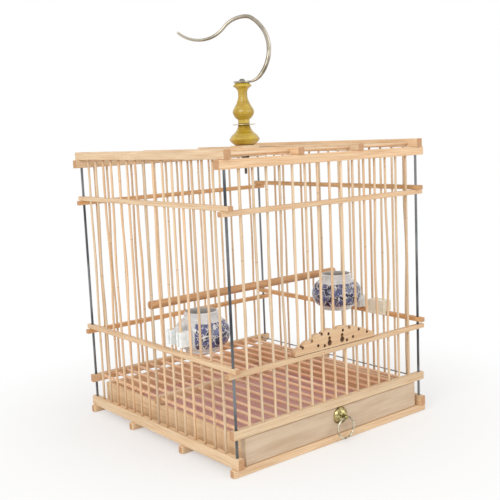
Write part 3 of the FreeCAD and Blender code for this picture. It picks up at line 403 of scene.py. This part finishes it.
@dataclass(frozen=True)
class Porcelain(Finish):
    """Glazed white porcelain with a brushed cobalt flower band under the glaze."""

    # Gives the eye a wet gloss on cool white, with ink-blue strokes over pale washes.
    axis_mm: tuple[float, float]
    base_mm: float
    inward: float
    white: str = "E0DEDC"
    shadow: str = "C8C8CA"
    # Painted shade on the faces inside the cup.
    inside: str = "B5B0AA"
    navy: str = "0F1138"
    cobalt: str = "2B2F7C"
    wash: str = "9297CC"
    belly_mm: float = 31.0
    flower_mm: float = 11.5
    leaf_mm: float = 3.9
    band_mm: tuple[float, float] = (9.6, 38.4)
    wave_mm: float = 5.0
    turn_deg: float = 141.0
    petals: float = 5.0
    # Radius of a blossom and depth of its lobes.
    blossom_mm: tuple[float, float] = (4.2, 0.8)
    bend_mm: Triple = (9.0, 9.0, 0.0)

    def surface(self, tree: Tree) -> dict[str, Source]:
        """Glaze with blossoms, leaves and tendrils round the belly, and painted shade inside the cup."""
        place = cells(tree, (1.0, 1.0, 1.0), (*self.axis_mm, self.base_mm))
        across, deep, tall = (add_node(tree, "SeparateXYZ", {0: place}, name) for name in "XYZ")
        ahead = add_node(tree, "Math", {0: across, 1: self.inward}, operation="MULTIPLY")
        angle = add_node(tree, "Math", {0: deep, 1: ahead}, operation="ARCTAN2")
        round_mm = add_node(tree, "Math", {0: angle, 1: self.belly_mm}, operation="MULTIPLY")
        flat = add_node(tree, "CombineXYZ", {0: round_mm, 1: tall})
        tone = add_node(tree, "TexNoise", {"Vector": flat, "Scale": 0.07, "Detail": 2.0})
        glaze = tones(tree, tone, 0.3, 0.7, self.shadow, self.white)
        strokes, washes = self.painting(tree, flat)
        room = self.painted_part(tree, angle, tall, tone)
        share = add_node(tree, "Math", {0: washes, 1: room}, operation="MULTIPLY")
        colour = add_node(tree, "Mix", {0: share, 6: glaze, 7: linear(self.wash)}, **BLEND)
        brush = add_node(tree, "TexNoise", {"Vector": flat, "Scale": 0.3, "Detail": 2.0})
        ink = tones(tree, brush, 0.5, 0.72, self.navy, self.cobalt)
        share = add_node(tree, "Math", {0: strokes, 1: room}, operation="MULTIPLY")
        colour = add_node(tree, "Mix", {0: share, 6: colour, 7: ink}, **BLEND)
        # Painted shade: faces that look towards the cup's axis take the grey inside colour.
        outside = self.outside(tree, place)
        colour = add_node(tree, "Mix", {0: outside, 6: linear(self.inside), 7: colour}, **BLEND)
        rough = add_node(tree, "MapRange", {0: tone, 1: 0.3, 2: 0.7, 3: 0.2, 4: 0.12}, **SMOOTH)
        bump = add_node(tree, "Bump", {"Strength": 0.06, "Distance": 0.4 * MM, "Height": tone})
        return {"Base Color": colour, "Roughness": rough, "Normal": bump, "IOR": 1.52,
                "Coat Weight": 0.5, "Coat Roughness": 0.04}

    def painted_part(self, tree: Tree, angle: Socket, tall: Socket, tone: Socket) -> Socket:
        """Part of the cup that the painter reached: round the belly, not on the flat back.

        Args:
            tree: Node tree that gets the nodes.
            angle: Turn from the cup's front.
            tall: Height above the foot.
            tone: Slow noise that makes the edges uneven.

        Returns:
            One where there is paint and zero elsewhere.
        """
        low, high = self.band_mm
        wavy = add_node(tree, "Math", {0: tone, 1: self.wave_mm, 2: tall}, operation="MULTIPLY_ADD")
        above = add_node(tree, "MapRange", {0: wavy, 1: low, 2: low + 1.0}, **SMOOTH)
        below = add_node(tree, "MapRange", {0: wavy, 1: high, 2: high + 1.0, 3: 1.0, 4: 0.0}, **SMOOTH)
        turn = add_node(tree, "Math", {0: angle}, operation="ABSOLUTE")
        limit = math.radians(self.turn_deg)
        edge = {0: turn, 1: limit - 0.03, 2: limit + 0.03, 3: 1.0, 4: 0.0}
        front = add_node(tree, "MapRange", edge, **SMOOTH)
        band = add_node(tree, "Math", {0: above, 1: below}, operation="MULTIPLY")
        return add_node(tree, "Math", {0: band, 1: front}, operation="MULTIPLY")

    def outside(self, tree: Tree, place: Socket) -> Socket:
        """One on faces that look away from the cup's axis, zero on those that look at it.

        Args:
            tree: Node tree that gets the nodes.
            place: Place from the cup's axis and foot in millimetres.

        Returns:
            The mask.
        """
        normal = add_node(tree, "NewGeometry", output="True Normal")
        radial = add_node(tree, "VectorMath", {0: place, 1: (1.0, 1.0, 0.0)}, operation="MULTIPLY")
        outward = add_node(tree, "VectorMath", {0: radial, 1: normal}, "Value", operation="DOT_PRODUCT")
        return add_node(tree, "MapRange", {0: outward, 1: -2.0, 2: 0.0})

    def painting(self, tree: Tree, flat: Socket) -> tuple[Socket, Socket]:
        """Brush strokes and pale washes: blossoms among leaves and curling stems.

        Args:
            tree: Node tree that gets the nodes.
            flat: Place on the unrolled belly in millimetres.

        Returns:
            The mask of the dark strokes and the mask of the pale washes.
        """
        drift = add_node(tree, "TexNoise", {"Vector": flat, "Scale": 0.11, "Detail": 1.0}, "Color")
        drift = add_node(tree, "VectorMath", {0: drift, 1: (0.5, 0.5, 0.5)}, operation="SUBTRACT")
        bent = add_node(tree, "VectorMath", {0: drift, 1: self.bend_mm, 2: flat}, operation="MULTIPLY_ADD")
        petals, blossom, clear = self.blossoms(tree, bent)
        ground = self.foliage(tree, flat, bent)
        ground = add_node(tree, "Math", {0: ground, 1: clear}, operation="MULTIPLY")
        return add_node(tree, "Math", {0: petals, 1: ground}, operation="MAXIMUM"), blossom

    def blossoms(self, tree: Tree, bent: Socket) -> tuple[Socket, Socket, Socket]:
        """Round blossoms with lobed petals, scattered over the belly.

        Args:
            tree: Node tree that gets the nodes.
            bent: Place on the unrolled belly, moved about a little.

        Returns:
            The masks of the petals' strokes, of the whole blossoms and of the room round them.
        """
        cell = {"Vector": bent, "Scale": 1 / self.flower_mm, "Randomness": 0.7}
        middle = add_node(tree, "TexVoronoi", cell, "Position", voronoi_dimensions="2D")
        away = add_node(tree, "VectorMath", {0: bent, 1: middle}, operation="SUBTRACT")
        far = add_node(tree, "VectorMath", {0: away, 1: (1.0, 1.0, 0.0)}, operation="MULTIPLY")
        far = add_node(tree, "VectorMath", {0: far}, "Value", operation="LENGTH")
        side = add_node(tree, "SeparateXYZ", {0: away}, "X")
        up = add_node(tree, "SeparateXYZ", {0: away}, "Y")
        spin = add_node(tree, "Math", {0: up, 1: side}, operation="ARCTAN2")
        lobes = add_node(tree, "Math", {0: spin, 1: self.petals}, operation="MULTIPLY")
        lobes = add_node(tree, "Math", {0: lobes}, operation="COSINE")
        radius, lobe = self.blossom_mm
        edge = add_node(tree, "Math", {0: lobes, 1: lobe, 2: radius}, operation="MULTIPLY_ADD")
        inside = add_node(tree, "Math", {0: edge, 1: far}, operation="SUBTRACT")
        blossom = add_node(tree, "MapRange", {0: inside, 1: -0.2, 2: 0.2}, **SMOOTH)
        rings = add_node(tree, "Math", {0: lobes, 1: 0.7, 2: far}, operation="MULTIPLY_ADD")
        rings = add_node(tree, "Math", {0: rings, 1: 0.95}, operation="PINGPONG")
        outline = add_node(tree, "MapRange", {0: rings, 1: 0.2, 2: 0.36}, **SMOOTH)
        petals = add_node(tree, "Math", {0: blossom, 1: outline}, operation="MULTIPLY")
        clear = add_node(tree, "MapRange", {0: inside, 1: -0.9, 2: -0.4, 3: 1.0, 4: 0.0}, **SMOOTH)
        return petals, blossom, clear

    def foliage(self, tree: Tree, flat: Socket, bent: Socket) -> Socket:
        """Small long leaves among thin curling stems.

        Args:
            tree: Node tree that gets the nodes.
            flat: Place on the unrolled belly in millimetres.
            bent: The same place, moved about a little.

        Returns:
            The mask of the strokes.
        """
        long_leaf = add_node(tree, "VectorMath", {0: bent, 1: (1.0, 0.7, 1.0)}, operation="MULTIPLY")
        scatter = {"Vector": long_leaf, "Scale": 1 / self.leaf_mm, "Randomness": 1.0}
        leaf = add_node(tree, "TexVoronoi", scatter, "Distance", voronoi_dimensions="2D")
        leaves = add_node(tree, "MapRange", {0: leaf, 1: 0.5, 2: 0.6, 3: 1.0, 4: 0.0}, **SMOOTH)
        curl = add_node(tree, "TexNoise", {"Vector": flat, "Scale": 0.17, "Detail": 1.0, "Distortion": 1.5})
        curl = add_node(tree, "Math", {0: curl, 1: 0.5}, operation="SUBTRACT")
        curl = add_node(tree, "Math", {0: curl}, operation="ABSOLUTE")
        stems = add_node(tree, "MapRange", {0: curl, 1: 0.016, 2: 0.03, 3: 1.0, 4: 0.0}, **SMOOTH)
        return add_node(tree, "Math", {0: leaves, 1: stems}, operation="MAXIMUM")


@dataclass(frozen=True)
class Plastic(Finish):
    """Injection-moulded polypropylene."""

    # Gives the eye a soft sheen, a little light through the wall and faint scuffs.
    colour: str
    scuff: str
    through: float = 0.2
    mottle_mm: float = 5.0
    through_mm: float = 2.0

    def surface(self, tree: Tree) -> dict[str, Source]:
        """Faintly mottled plastic that lets a little light in."""
        mottle = add_node(tree, "TexNoise", {
            "Vector": cells(tree, (self.mottle_mm,) * 3), "Scale": 1.0, "Detail": 3.0})
        colour = tones(tree, mottle, 0.32, 0.6, self.scuff, self.colour)
        rough = add_node(tree, "MapRange", {0: mottle, 1: 0.3, 2: 0.7, 3: 0.5, 4: 0.36}, **SMOOTH)
        bump = add_node(tree, "Bump", {"Strength": 0.08, "Distance": 0.2 * MM, "Height": mottle})
        return {"Base Color": colour, "Roughness": rough, "Normal": bump, "IOR": 1.49,
                "Subsurface Weight": self.through, "Subsurface Radius": (1.0, 0.9, 0.8),
                "Subsurface Scale": self.through_mm * MM}


def nodes_like(*starts: str) -> list[str]:
    """Names of the CAD nodes that begin with any of some words."""
    return [name for name in sorted(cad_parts) if name.startswith(starts)]


def dress(nodes: Iterable[str], finish: Finish) -> None:
    """Give CAD nodes one finish in all their slots.

    Args:
        nodes: Names of the nodes.
        finish: Finish for them.
    """
    material = finish.build()
    for name in nodes:
        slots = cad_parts[name].data.materials
        slots.clear()
        slots.append(material)
        LOG.info("%s is dressed in %s", name, material.name)


def add_piece(name: str, shape: bmesh.types.BMesh, finish: Finish, body: str) -> bpy.types.Object:
    """Put a new piece in the scene, riding on a CAD body.

    Args:
        name: Name of the piece.
        shape: Its mesh, which is freed.
        finish: Its finish.
        body: CAD body that carries it.

    Returns:
        The piece.
    """
    bmesh.ops.recalc_face_normals(shape, faces=shape.faces)
    mesh = bpy.data.meshes.new(name)
    shape.to_mesh(mesh)
    shape.free()
    mesh.polygons.foreach_set("use_smooth", [True] * len(mesh.polygons))
    mesh.materials.append(finish.build())
    piece = bpy.data.objects.new(name, mesh)
    bpy.context.scene.collection.objects.link(piece)
    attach(piece, body)
    LOG.info("%s rides on %s", name, body)
    return piece


@dataclass(frozen=True)
class WallSticks:
    """Split sticks of the walls, which bow a little between the rails that hold them."""

    side_walls: tuple[str, ...] = ("sticks_left", "sticks_right")
    end_walls: tuple[str, ...] = ("sticks_back", "sticks_front_left", "sticks_front_right")
    pitch_mm: tuple[float, float] = (18.75, 19.375)
    corner_mm: tuple[float, float] = (-150.0, -155.0)
    # Lower end, upper end and greatest bow of each length between two rails.
    spans_mm: tuple[Triple, ...] = ((52.0, 109.0, 0.4), (125.0, 282.0, 1.5), (294.0, 331.0, 0.3))
    slice_mm: float = 10.0
    weld_mm: float = 0.001
    snap_mm: float = 0.01
    # Side sticks that carry the perch, cups or holders, counted from the front; they stay straight.
    loaded: tuple[int, ...] = (2, 3, 4, 5, 6, 8)
    uneven: float = 0.07
    uneven_mm: float = 23.0
    seed: int = 11

    def build(self, finish: Finish) -> None:
        """Replace each wall's straight sticks with bowed ones.

        Args:
            finish: Bamboo of the sticks.
        """
        for wall in self.side_walls + self.end_walls:
            shape = bmesh.new()
            shape.from_mesh(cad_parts[wall].data)
            bmesh.ops.remove_doubles(shape, verts=shape.verts, dist=self.weld_mm * MM)
            low, high, _ = zip(*self.spans_mm)
            for step in range(int((high[-1] - low[0]) / self.slice_mm) + 1):
                level = (low[0] + step * self.slice_mm) * MM
                bmesh.ops.bisect_plane(shape, geom=shape.verts[:] + shape.edges[:] + shape.faces[:],
                                       plane_co=(0, 0, level), plane_no=(0, 0, 1), dist=self.snap_mm * MM)
            for vert in shape.verts:
                self.bend(vert, wall)
            piece = add_piece("bowed_" + wall, shape, finish, "cage")
            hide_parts(wall)

    def bend(self, vert: bmesh.types.BMVert, wall: str) -> None:
        """Move one vertex of a stick to where the bowed stick has it.

        Args:
            vert: Vertex of the stick.
            wall: Name of the wall's node.
        """
        place = [(vert.co[axis] / MM - self.corner_mm[axis]) / self.pitch_mm[axis] for axis in (0, 1)]
        number = [round(count) for count in place]
        if wall in self.side_walls and number[1] in self.loaded:
            return
        height = vert.co.z / MM
        chance = Random(self.seed + 100 * number[0] + number[1])
        for low, high, most in self.spans_mm:
            lean = [chance.uniform(-most, most) for _ in range(2)]
            phase = chance.uniform(0, 2 * math.pi)
            if low < height < high:
                share = math.sin(math.pi * (height - low) / (high - low)) ** 2
                thick = self.uneven * share * math.sin(height / self.uneven_mm + phase)
                for axis in (0, 1):
                    off = (place[axis] - number[axis]) * self.pitch_mm[axis]
                    vert.co[axis] += (lean[axis] * share + thick * off) * MM


@dataclass(frozen=True)
class Timber:
    """Bars, rails, sticks, slats, perch and carved door of the cage."""

    across: tuple[str, ...] = (
        "base_bar", "floor_rail", "lower_rail_front", "lower_rail_back", "upper_rail_front",
        "upper_rail_back", "top_bar_front", "top_bar_back", "crown_board")
    deep: tuple[str, ...] = (
        "base_rail", "lower_rail_left", "lower_rail_right", "upper_rail_left", "upper_rail_right",
        "top_bar_left", "top_bar_right", "roof_bar")
    upright: tuple[str, ...] = ("sticks_", "door_sticks")
    orange_brown: tuple[str, str] = ("E6BE8C", "CB9862")
    pale: tuple[str, str] = ("F0DABD", "DAB88E")
    pitch_mm: Triple = (18.75, 19.375, 50.0)
    # Where the grids of the wall sticks and of the roof sticks and slats start.
    wall_mm: Triple = (-159.375, -164.6875, 30.0)
    half_mm: Triple = (-150.0, -155.0, 30.0)
    joint_mm: float = 290.0
    # Place from the middle, height above the foot and radius of the holes in the door's plate.
    holes_mm: tuple[Triple, ...] = (
        (11.7, 17.6, 1.6), (28.5, 6.8, 1.6), (18.2, 4.7, 1.6), (10.3, 6.8, 3.1),
        (10.3, 12.4, 1.8), (52.5, 8.6, 1.6), (38.5, 14.2, 1.6), (22.5, 19.2, 1.6))

    def dress(self) -> None:
        """Give each direction of run its own bamboo, each stick with its own tint."""
        # Planed bamboo bars: straight fibres and a satin sheen, each bar a little lighter or darker.
        dress(nodes_like(*self.across), Bamboo("planed_bamboo_across", Along.X))
        dress(nodes_like(*self.deep), Bamboo("planed_bamboo_deep", Along.Y))
        # Pads sawn from a pale board: little contrast at their ends.
        dress(["crown_pads"], Bamboo("pale_bamboo_pads", Along.X, end="EACDA6", pore="D0A880"))
        # Browner bamboo on the back and right rails: the same fibres, darker and more orange than the rest.
        dress(["upper_rail_back", "lower_rail_back"], Bamboo("orange_brown_bamboo_across", Along.X, *self.orange_brown))
        dress(["upper_rail_right", "lower_rail_right"], Bamboo("orange_brown_bamboo_deep", Along.Y, *self.orange_brown))
        # Round split sticks: pale, with faint joints and clear changes of tint from stick to stick.
        upright = Bamboo("split_bamboo_upright", Along.Z, *self.pale, cell_mm=self.pitch_mm,
                         from_mm=self.wall_mm, spread=0.2, joint_mm=self.joint_mm)
        dress(nodes_like(*self.upright), upright)
        WallSticks().build(upright)
        dress(nodes_like("roof_sticks"), Bamboo(
            "split_bamboo_roof", Along.X, *self.pale, cell_mm=self.pitch_mm,
            from_mm=self.half_mm, spread=0.2, joint_mm=self.joint_mm))
        # Inner bamboo of the slats: rosier and softer than the skin.
        dress(["floor_slats"], Bamboo(
            "rosy_bamboo_slats", Along.Y, "FFE0C0", "EEBC94", cell_mm=self.pitch_mm,
            from_mm=self.half_mm, spread=0.16))
        # Smoked bamboo: an even orange brown.
        dress(["perch"], Bamboo("smoked_bamboo_perch", Along.X, "D8AA7C", "BA875A", spread=0.05))
        # Carved plate: tan, with painted shade in and round the holes and along the foot.
        dress(["door_plate"], BambooWithPaintedShade(
            "bamboo_door_painted_shade", Along.X, "E4C6A0", "CDA67C", spread=0.0, holes_mm=self.holes_mm))


@dataclass(frozen=True)
class Metalwork:
    """Rods, wire, bolt, hook, disc and the drawer's brass."""

    bolt_mm: tuple[float, float] = (2.5, 0.0)
    thread_mm: tuple[float, float] = (315.8, 334.2)
    pitch_mm: float = 0.6
    shaft_mm: float = 1.6
    turn_steps: int = 20
    # Corners of the ridge: distance from the shaft's skin and height.
    ridge_mm: tuple[tuple[float, float], ...] = ((-0.1, -0.27), (0.22, -0.04), (0.22, 0.04), (-0.1, 0.27))
    boss_mm: Triple = (4.0, -157.0, 30.4)
    petals: int = 10
    petal_steps: int = 12
    petal_edge: float = 0.7
    rib_mm: float = 0.35
    # Radius and distance from the drawer's front along the dome's profile.
    dome_mm: tuple[tuple[float, float], ...] = (
        (10.5, 0.1), (10.5, 0.9), (10.1, 1.75), (9.2, 3.2), (7.9, 4.55), (6.2, 5.7),
        (4.5, 6.45), (3.0, 6.75))

    def build(self) -> None:
        """Dress the metal pieces, cut the thread and set the rosette."""
        # Drawn steel: dark grey with long bright lines.
        dress(nodes_like("corner_rod"), Metal(
            "dark_drawn_steel_rod", "86888B", "43464A", rough=0.22, patch_mm=70.0))
        dress(["floor_wire"], Metal("drawn_steel_wire", "C2C3C2", "8F9192", Along.Y))
        # Zinc plate: a duller, yellowish grey.
        zinc = Metal("zinc_plated_steel", "8C8578", "4C463F", rough=0.32)
        dress(["hook_bolt", "crown_nut"], zinc)
        # Polished steel: a warm mirror with clouded patches.
        dress(["hook"], Metal("polished_steel_hook", "BFB7A8", "7C7260", rough=0.17, patch_mm=34.0))
        # Cast brass and worn plate on the wire ring: bright and brown patches at random.
        brass = Metal("cast_brass", "C9BC86", "6E6238", rough=0.27, patch_mm=5.0)
        dress(["pull_boss"], brass)
        dress(["pull_ring"], Metal("worn_plated_wire", "DCD6C2", "8C846C", rough=0.22, patch_mm=5.0))
        # Thin brass sheet: a pale, even yellow edge.
        dress(["finial_disc"], Metal("thin_brass_sheet", "E0D2A2", "C4AE70", Along.X, rough=0.32))
        self.thread(zinc)
        self.rosette(brass)

    def thread(self, finish: Finish) -> None:
        """Screw thread on the bare tail of the bolt, as one swept ridge.

        Args:
            finish: Metal of the bolt.
        """
        low, high = self.thread_mm
        turns = (high - low) / self.pitch_mm
        steps = int(turns * self.turn_steps)
        shape = bmesh.new()
        across, deep = self.bolt_mm
        corners = [shape.verts.new(Vector((across + self.shaft_mm + out, deep, low + up)) * MM)
                   for out, up in self.ridge_mm]
        edges = [shape.edges.new((corners[i], corners[(i + 1) % 4])) for i in range(4)]
        first = shape.faces.new(corners)
        bmesh.ops.spin(shape, geom=corners + edges + [first], cent=Vector((across, deep, 0)) * MM,
                       axis=(0, 0, 1), dvec=(0, 0, (high - low) / steps * MM), angle=turns * 2 * math.pi,
                       steps=steps, use_merge=False, use_duplicate=False)
        add_piece("bolt_thread", shape, finish, "cage")

    def rosette(self, finish: Finish) -> None:
        """Ribbed petals that lie over the dome of the drawer's boss.

        Args:
            finish: Brass of the boss.
        """
        middle = Vector(self.boss_mm) * MM
        shape = bmesh.new()
        row = [shape.verts.new(middle + Vector((radius, -out, 0.0)) * MM) for radius, out in self.dome_mm]
        edges = [shape.edges.new(pair) for pair in zip(row, row[1:])]
        bmesh.ops.spin(shape, geom=row + edges, cent=middle, axis=(0, 1, 0), dvec=(0, 0, 0),
                       angle=2 * math.pi, steps=self.petals * self.petal_steps, use_merge=True,
                       use_duplicate=False)
        rim, eye = self.dome_mm[0][0], self.dome_mm[-1][0]
        for vert in shape.verts:
            away = vert.co - middle
            turn = math.atan2(away.z, away.x)
            share = (math.hypot(away.x, away.z) / MM - eye) / (rim - eye)
            along = math.sin(math.pi * min(max(share, 0.0), 1.0))
            across = abs(math.cos(self.petals * turn / 2)) ** self.petal_edge
            vert.co.y -= self.rib_mm * along * across * MM
        add_piece("pull_rosette", shape, finish, "drawer")


@dataclass(frozen=True)
class Finial:
    """Turned bell and baluster under the hook."""

    turned: tuple[str, ...] = ("finial_bell", "finial_baluster")

    def dress(self) -> None:
        """Give the turned pieces their lacquer."""
        # Brushed lacquer: deep yellow, glossy, with painted shade in the grooves.
        dress(self.turned, Lacquer("mustard_lacquer_on_turned_wood"))


@dataclass(frozen=True)
class Drawer:
    """Drawer boards and the dusty pink tray bottom."""

    bare: tuple[str, str, str] = ("EED3AE", "DDB98E", "CDA67A")

    def dress(self) -> None:
        """Give the boards their woods."""
        # Weathered softwood: greyed, with broad soft streaks.
        dress(["drawer_front"], Board("weathered_paulownia_front", Along.X, "D6C0A6", "C9B094", "B89A7E",
                                      streak_mm=5.0, streak_long_mm=60.0))
        # Bare softwood inside: paler, with fine streaks.
        dress(["drawer_back"], Board("paulownia_back", Along.X, *self.bare))
        dress(["drawer_side_left", "drawer_side_right"], Board("paulownia_sides", Along.Y, *self.bare))
        # Thin paint on hardboard: dusty pink with faint stains.
        dress(["drawer_bottom"], Board("pink_painted_hardboard", Along.Y, "DDB2AC", "CC9C97", "B58582",
                                       streak_mm=7.0, stain_share=0.3))


@dataclass(frozen=True)
class Tableware:
    """Porcelain cups and the plastic holders on the side sticks."""

    left_mm: Triple = (-113.0, -48.4375, 114.5)
    right_mm: Triple = (111.0, -48.4375, 128.0)

    def dress(self) -> None:
        """Give the cups and holders their finishes."""
        # Glazed porcelain: white gloss with a blue flower band that faces into the cage.
        for side, (*axis, foot), inward in (("left", self.left_mm, 1.0), ("right", self.right_mm, -1.0)):
            dress(["cup_" + side], Porcelain("glazed_porcelain_" + side, tuple(axis), foot, inward))
        # Moulded polypropylene: milky and faintly scuffed, the spare holder yellowed.
        dress(nodes_like("cup_bracket"), Plastic("frosted_polypropylene", "F2F5F4", "E2E8E7", 0.35))
        dress(["spare_holder"], Plastic("ivory_polypropylene", "F6F0DE", "EBE1C6", 0.25))


@dataclass(frozen=True)
class Stage:
    """Pale floor, soft light and the camera of the picture."""

    focal_px: float = 831.8
    image_px: float = 500.0
    sensor_mm: float = 36.0
    place_mm: Triple = (-666.2, -839.7, 366.8)
    tilt_deg: float = -7.995
    roll_deg: float = 2.484
    pan_deg: float = -38.573
    near_m: float = 0.01
    daylight: float = 0.72
    floor_m: float = 4.0
    floor_gap_m: float = 0.0003
    floor_paint: str = "F4F3F1"
    # Distances from the cage's middle where the floor starts and ends to turn white, and how white.
    fade_m: tuple[float, float] = (0.13, 0.48)
    fade_share: tuple[float, float] = (0.4, 1.0)
    aim_m: Triple = (0.0, 0.0, 0.2)
    lamp_m: float = 1.2
    # Name, place in metres and watts of each lamp.
    lamps: tuple[tuple[str, Triple, float], ...] = (
        ("key", (-1.7, -0.7, 1.3), 17.0), ("fill", (0.7, -1.6, 0.9), 7.0))

    def camera(self) -> None:
        """Add the camera."""
        data = bpy.data.cameras.new("camera")
        data.sensor_width = self.sensor_mm
        data.lens = self.focal_px / self.image_px * self.sensor_mm
        data.clip_start = self.near_m
        camera = bpy.data.objects.new("camera", data)
        turn = (Matrix.Rotation(math.radians(self.pan_deg), 4, "Z")
                @ Matrix.Rotation(math.radians(self.tilt_deg), 4, "X")
                @ Matrix.Rotation(math.radians(self.roll_deg), 4, "Y")
                @ Matrix.Rotation(math.radians(90), 4, "X"))
        camera.matrix_world = Matrix.Translation(Vector(self.place_mm) * MM) @ turn
        bpy.context.scene.collection.objects.link(camera)
        bpy.context.scene.camera = camera

    def seen(self, tree: Tree) -> Socket:
        """One for rays that show the background, zero for rays that light the object."""
        share: Source = 0.0
        for ray in ("Is Camera Ray", "Is Glossy Ray", "Is Transmission Ray"):
            share = add_node(tree, "Math", {0: add_node(tree, "LightPath", output=ray), 1: share},
                             operation="MAXIMUM")
        return share

    def sky(self) -> None:
        """White background that lights the object softly."""
        world = bpy.data.worlds.new("studio")
        bpy.context.scene.world = world
        world.use_nodes = True
        tree = world.node_tree
        tree.nodes.clear()
        strength = add_node(tree, "MapRange", {0: self.seen(tree), 3: self.daylight, 4: 1.0})
        back = add_node(tree, "Background", {"Color": (1, 1, 1, 1), "Strength": strength})
        add_node(tree, "OutputWorld", {"Surface": back})

    def floor(self) -> None:
        """Pale floor that keeps the shadow near the cage and turns white away from it."""
        mesh = bpy.data.meshes.new("floor")
        sheet = bmesh.new()
        bmesh.ops.create_grid(sheet, x_segments=1, y_segments=1, size=self.floor_m)
        sheet.to_mesh(mesh)
        sheet.free()
        mesh.transform(Matrix.Translation((0, 0, -self.floor_gap_m)))
        floor = bpy.data.objects.new("floor", mesh)
        bpy.context.scene.collection.objects.link(floor)
        material = bpy.data.materials.new("pale_floor")
        material.use_nodes = True
        tree = material.node_tree
        tree.nodes.clear()
        # Matt paint: an even pale ground that shows the shadow.
        matt = add_node(tree, "BsdfDiffuse", {"Color": linear(self.floor_paint)})
        glow = add_node(tree, "Emission", {"Color": (1, 1, 1, 1), "Strength": 1.0})
        place = add_node(tree, "TexCoord", output="Object")
        far = add_node(tree, "VectorMath", {0: place}, "Value", operation="LENGTH")
        levels = dict(enumerate((far, *self.fade_m, *self.fade_share)))
        fade = add_node(tree, "MapRange", levels, **SMOOTH)
        share = add_node(tree, "Math", {0: self.seen(tree), 1: fade}, operation="MULTIPLY")
        both = add_node(tree, "MixShader", {0: share, 1: matt, 2: glow})
        add_node(tree, "OutputMaterial", {"Surface": both})
        mesh.materials.append(material)

    def lamp(self, name: str, place: Triple, power: float) -> None:
        """Add one soft lamp that points at the cage.

        Args:
            name: Name of the lamp.
            place: Where it stands, in metres.
            power: Watts.
        """
        data = bpy.data.lights.new(name, "AREA")
        data.energy = power
        data.size = self.lamp_m
        lamp = bpy.data.objects.new(name, data)
        lamp.location = place
        aim = Vector(self.aim_m) - Vector(place)
        lamp.rotation_euler = aim.to_track_quat("-Z", "Y").to_euler()
        bpy.context.scene.collection.objects.link(lamp)

    def build(self) -> None:
        """Set the camera, light and floor."""
        self.camera()
        self.sky()
        self.floor()
        for lamp in self.lamps:
            self.lamp(*lamp)
        bpy.context.scene.view_settings.view_transform = "Standard"


def main() -> None:
    """Dress the cage, add its fine pieces and set the stage."""
    logging.basicConfig(level=logging.INFO)
    Timber().dress()
    Metalwork().build()
    Finial().dress()
    Drawer().dress()
    Tableware().dress()
    Stage().build()


if __name__ == "__main__":
    main()
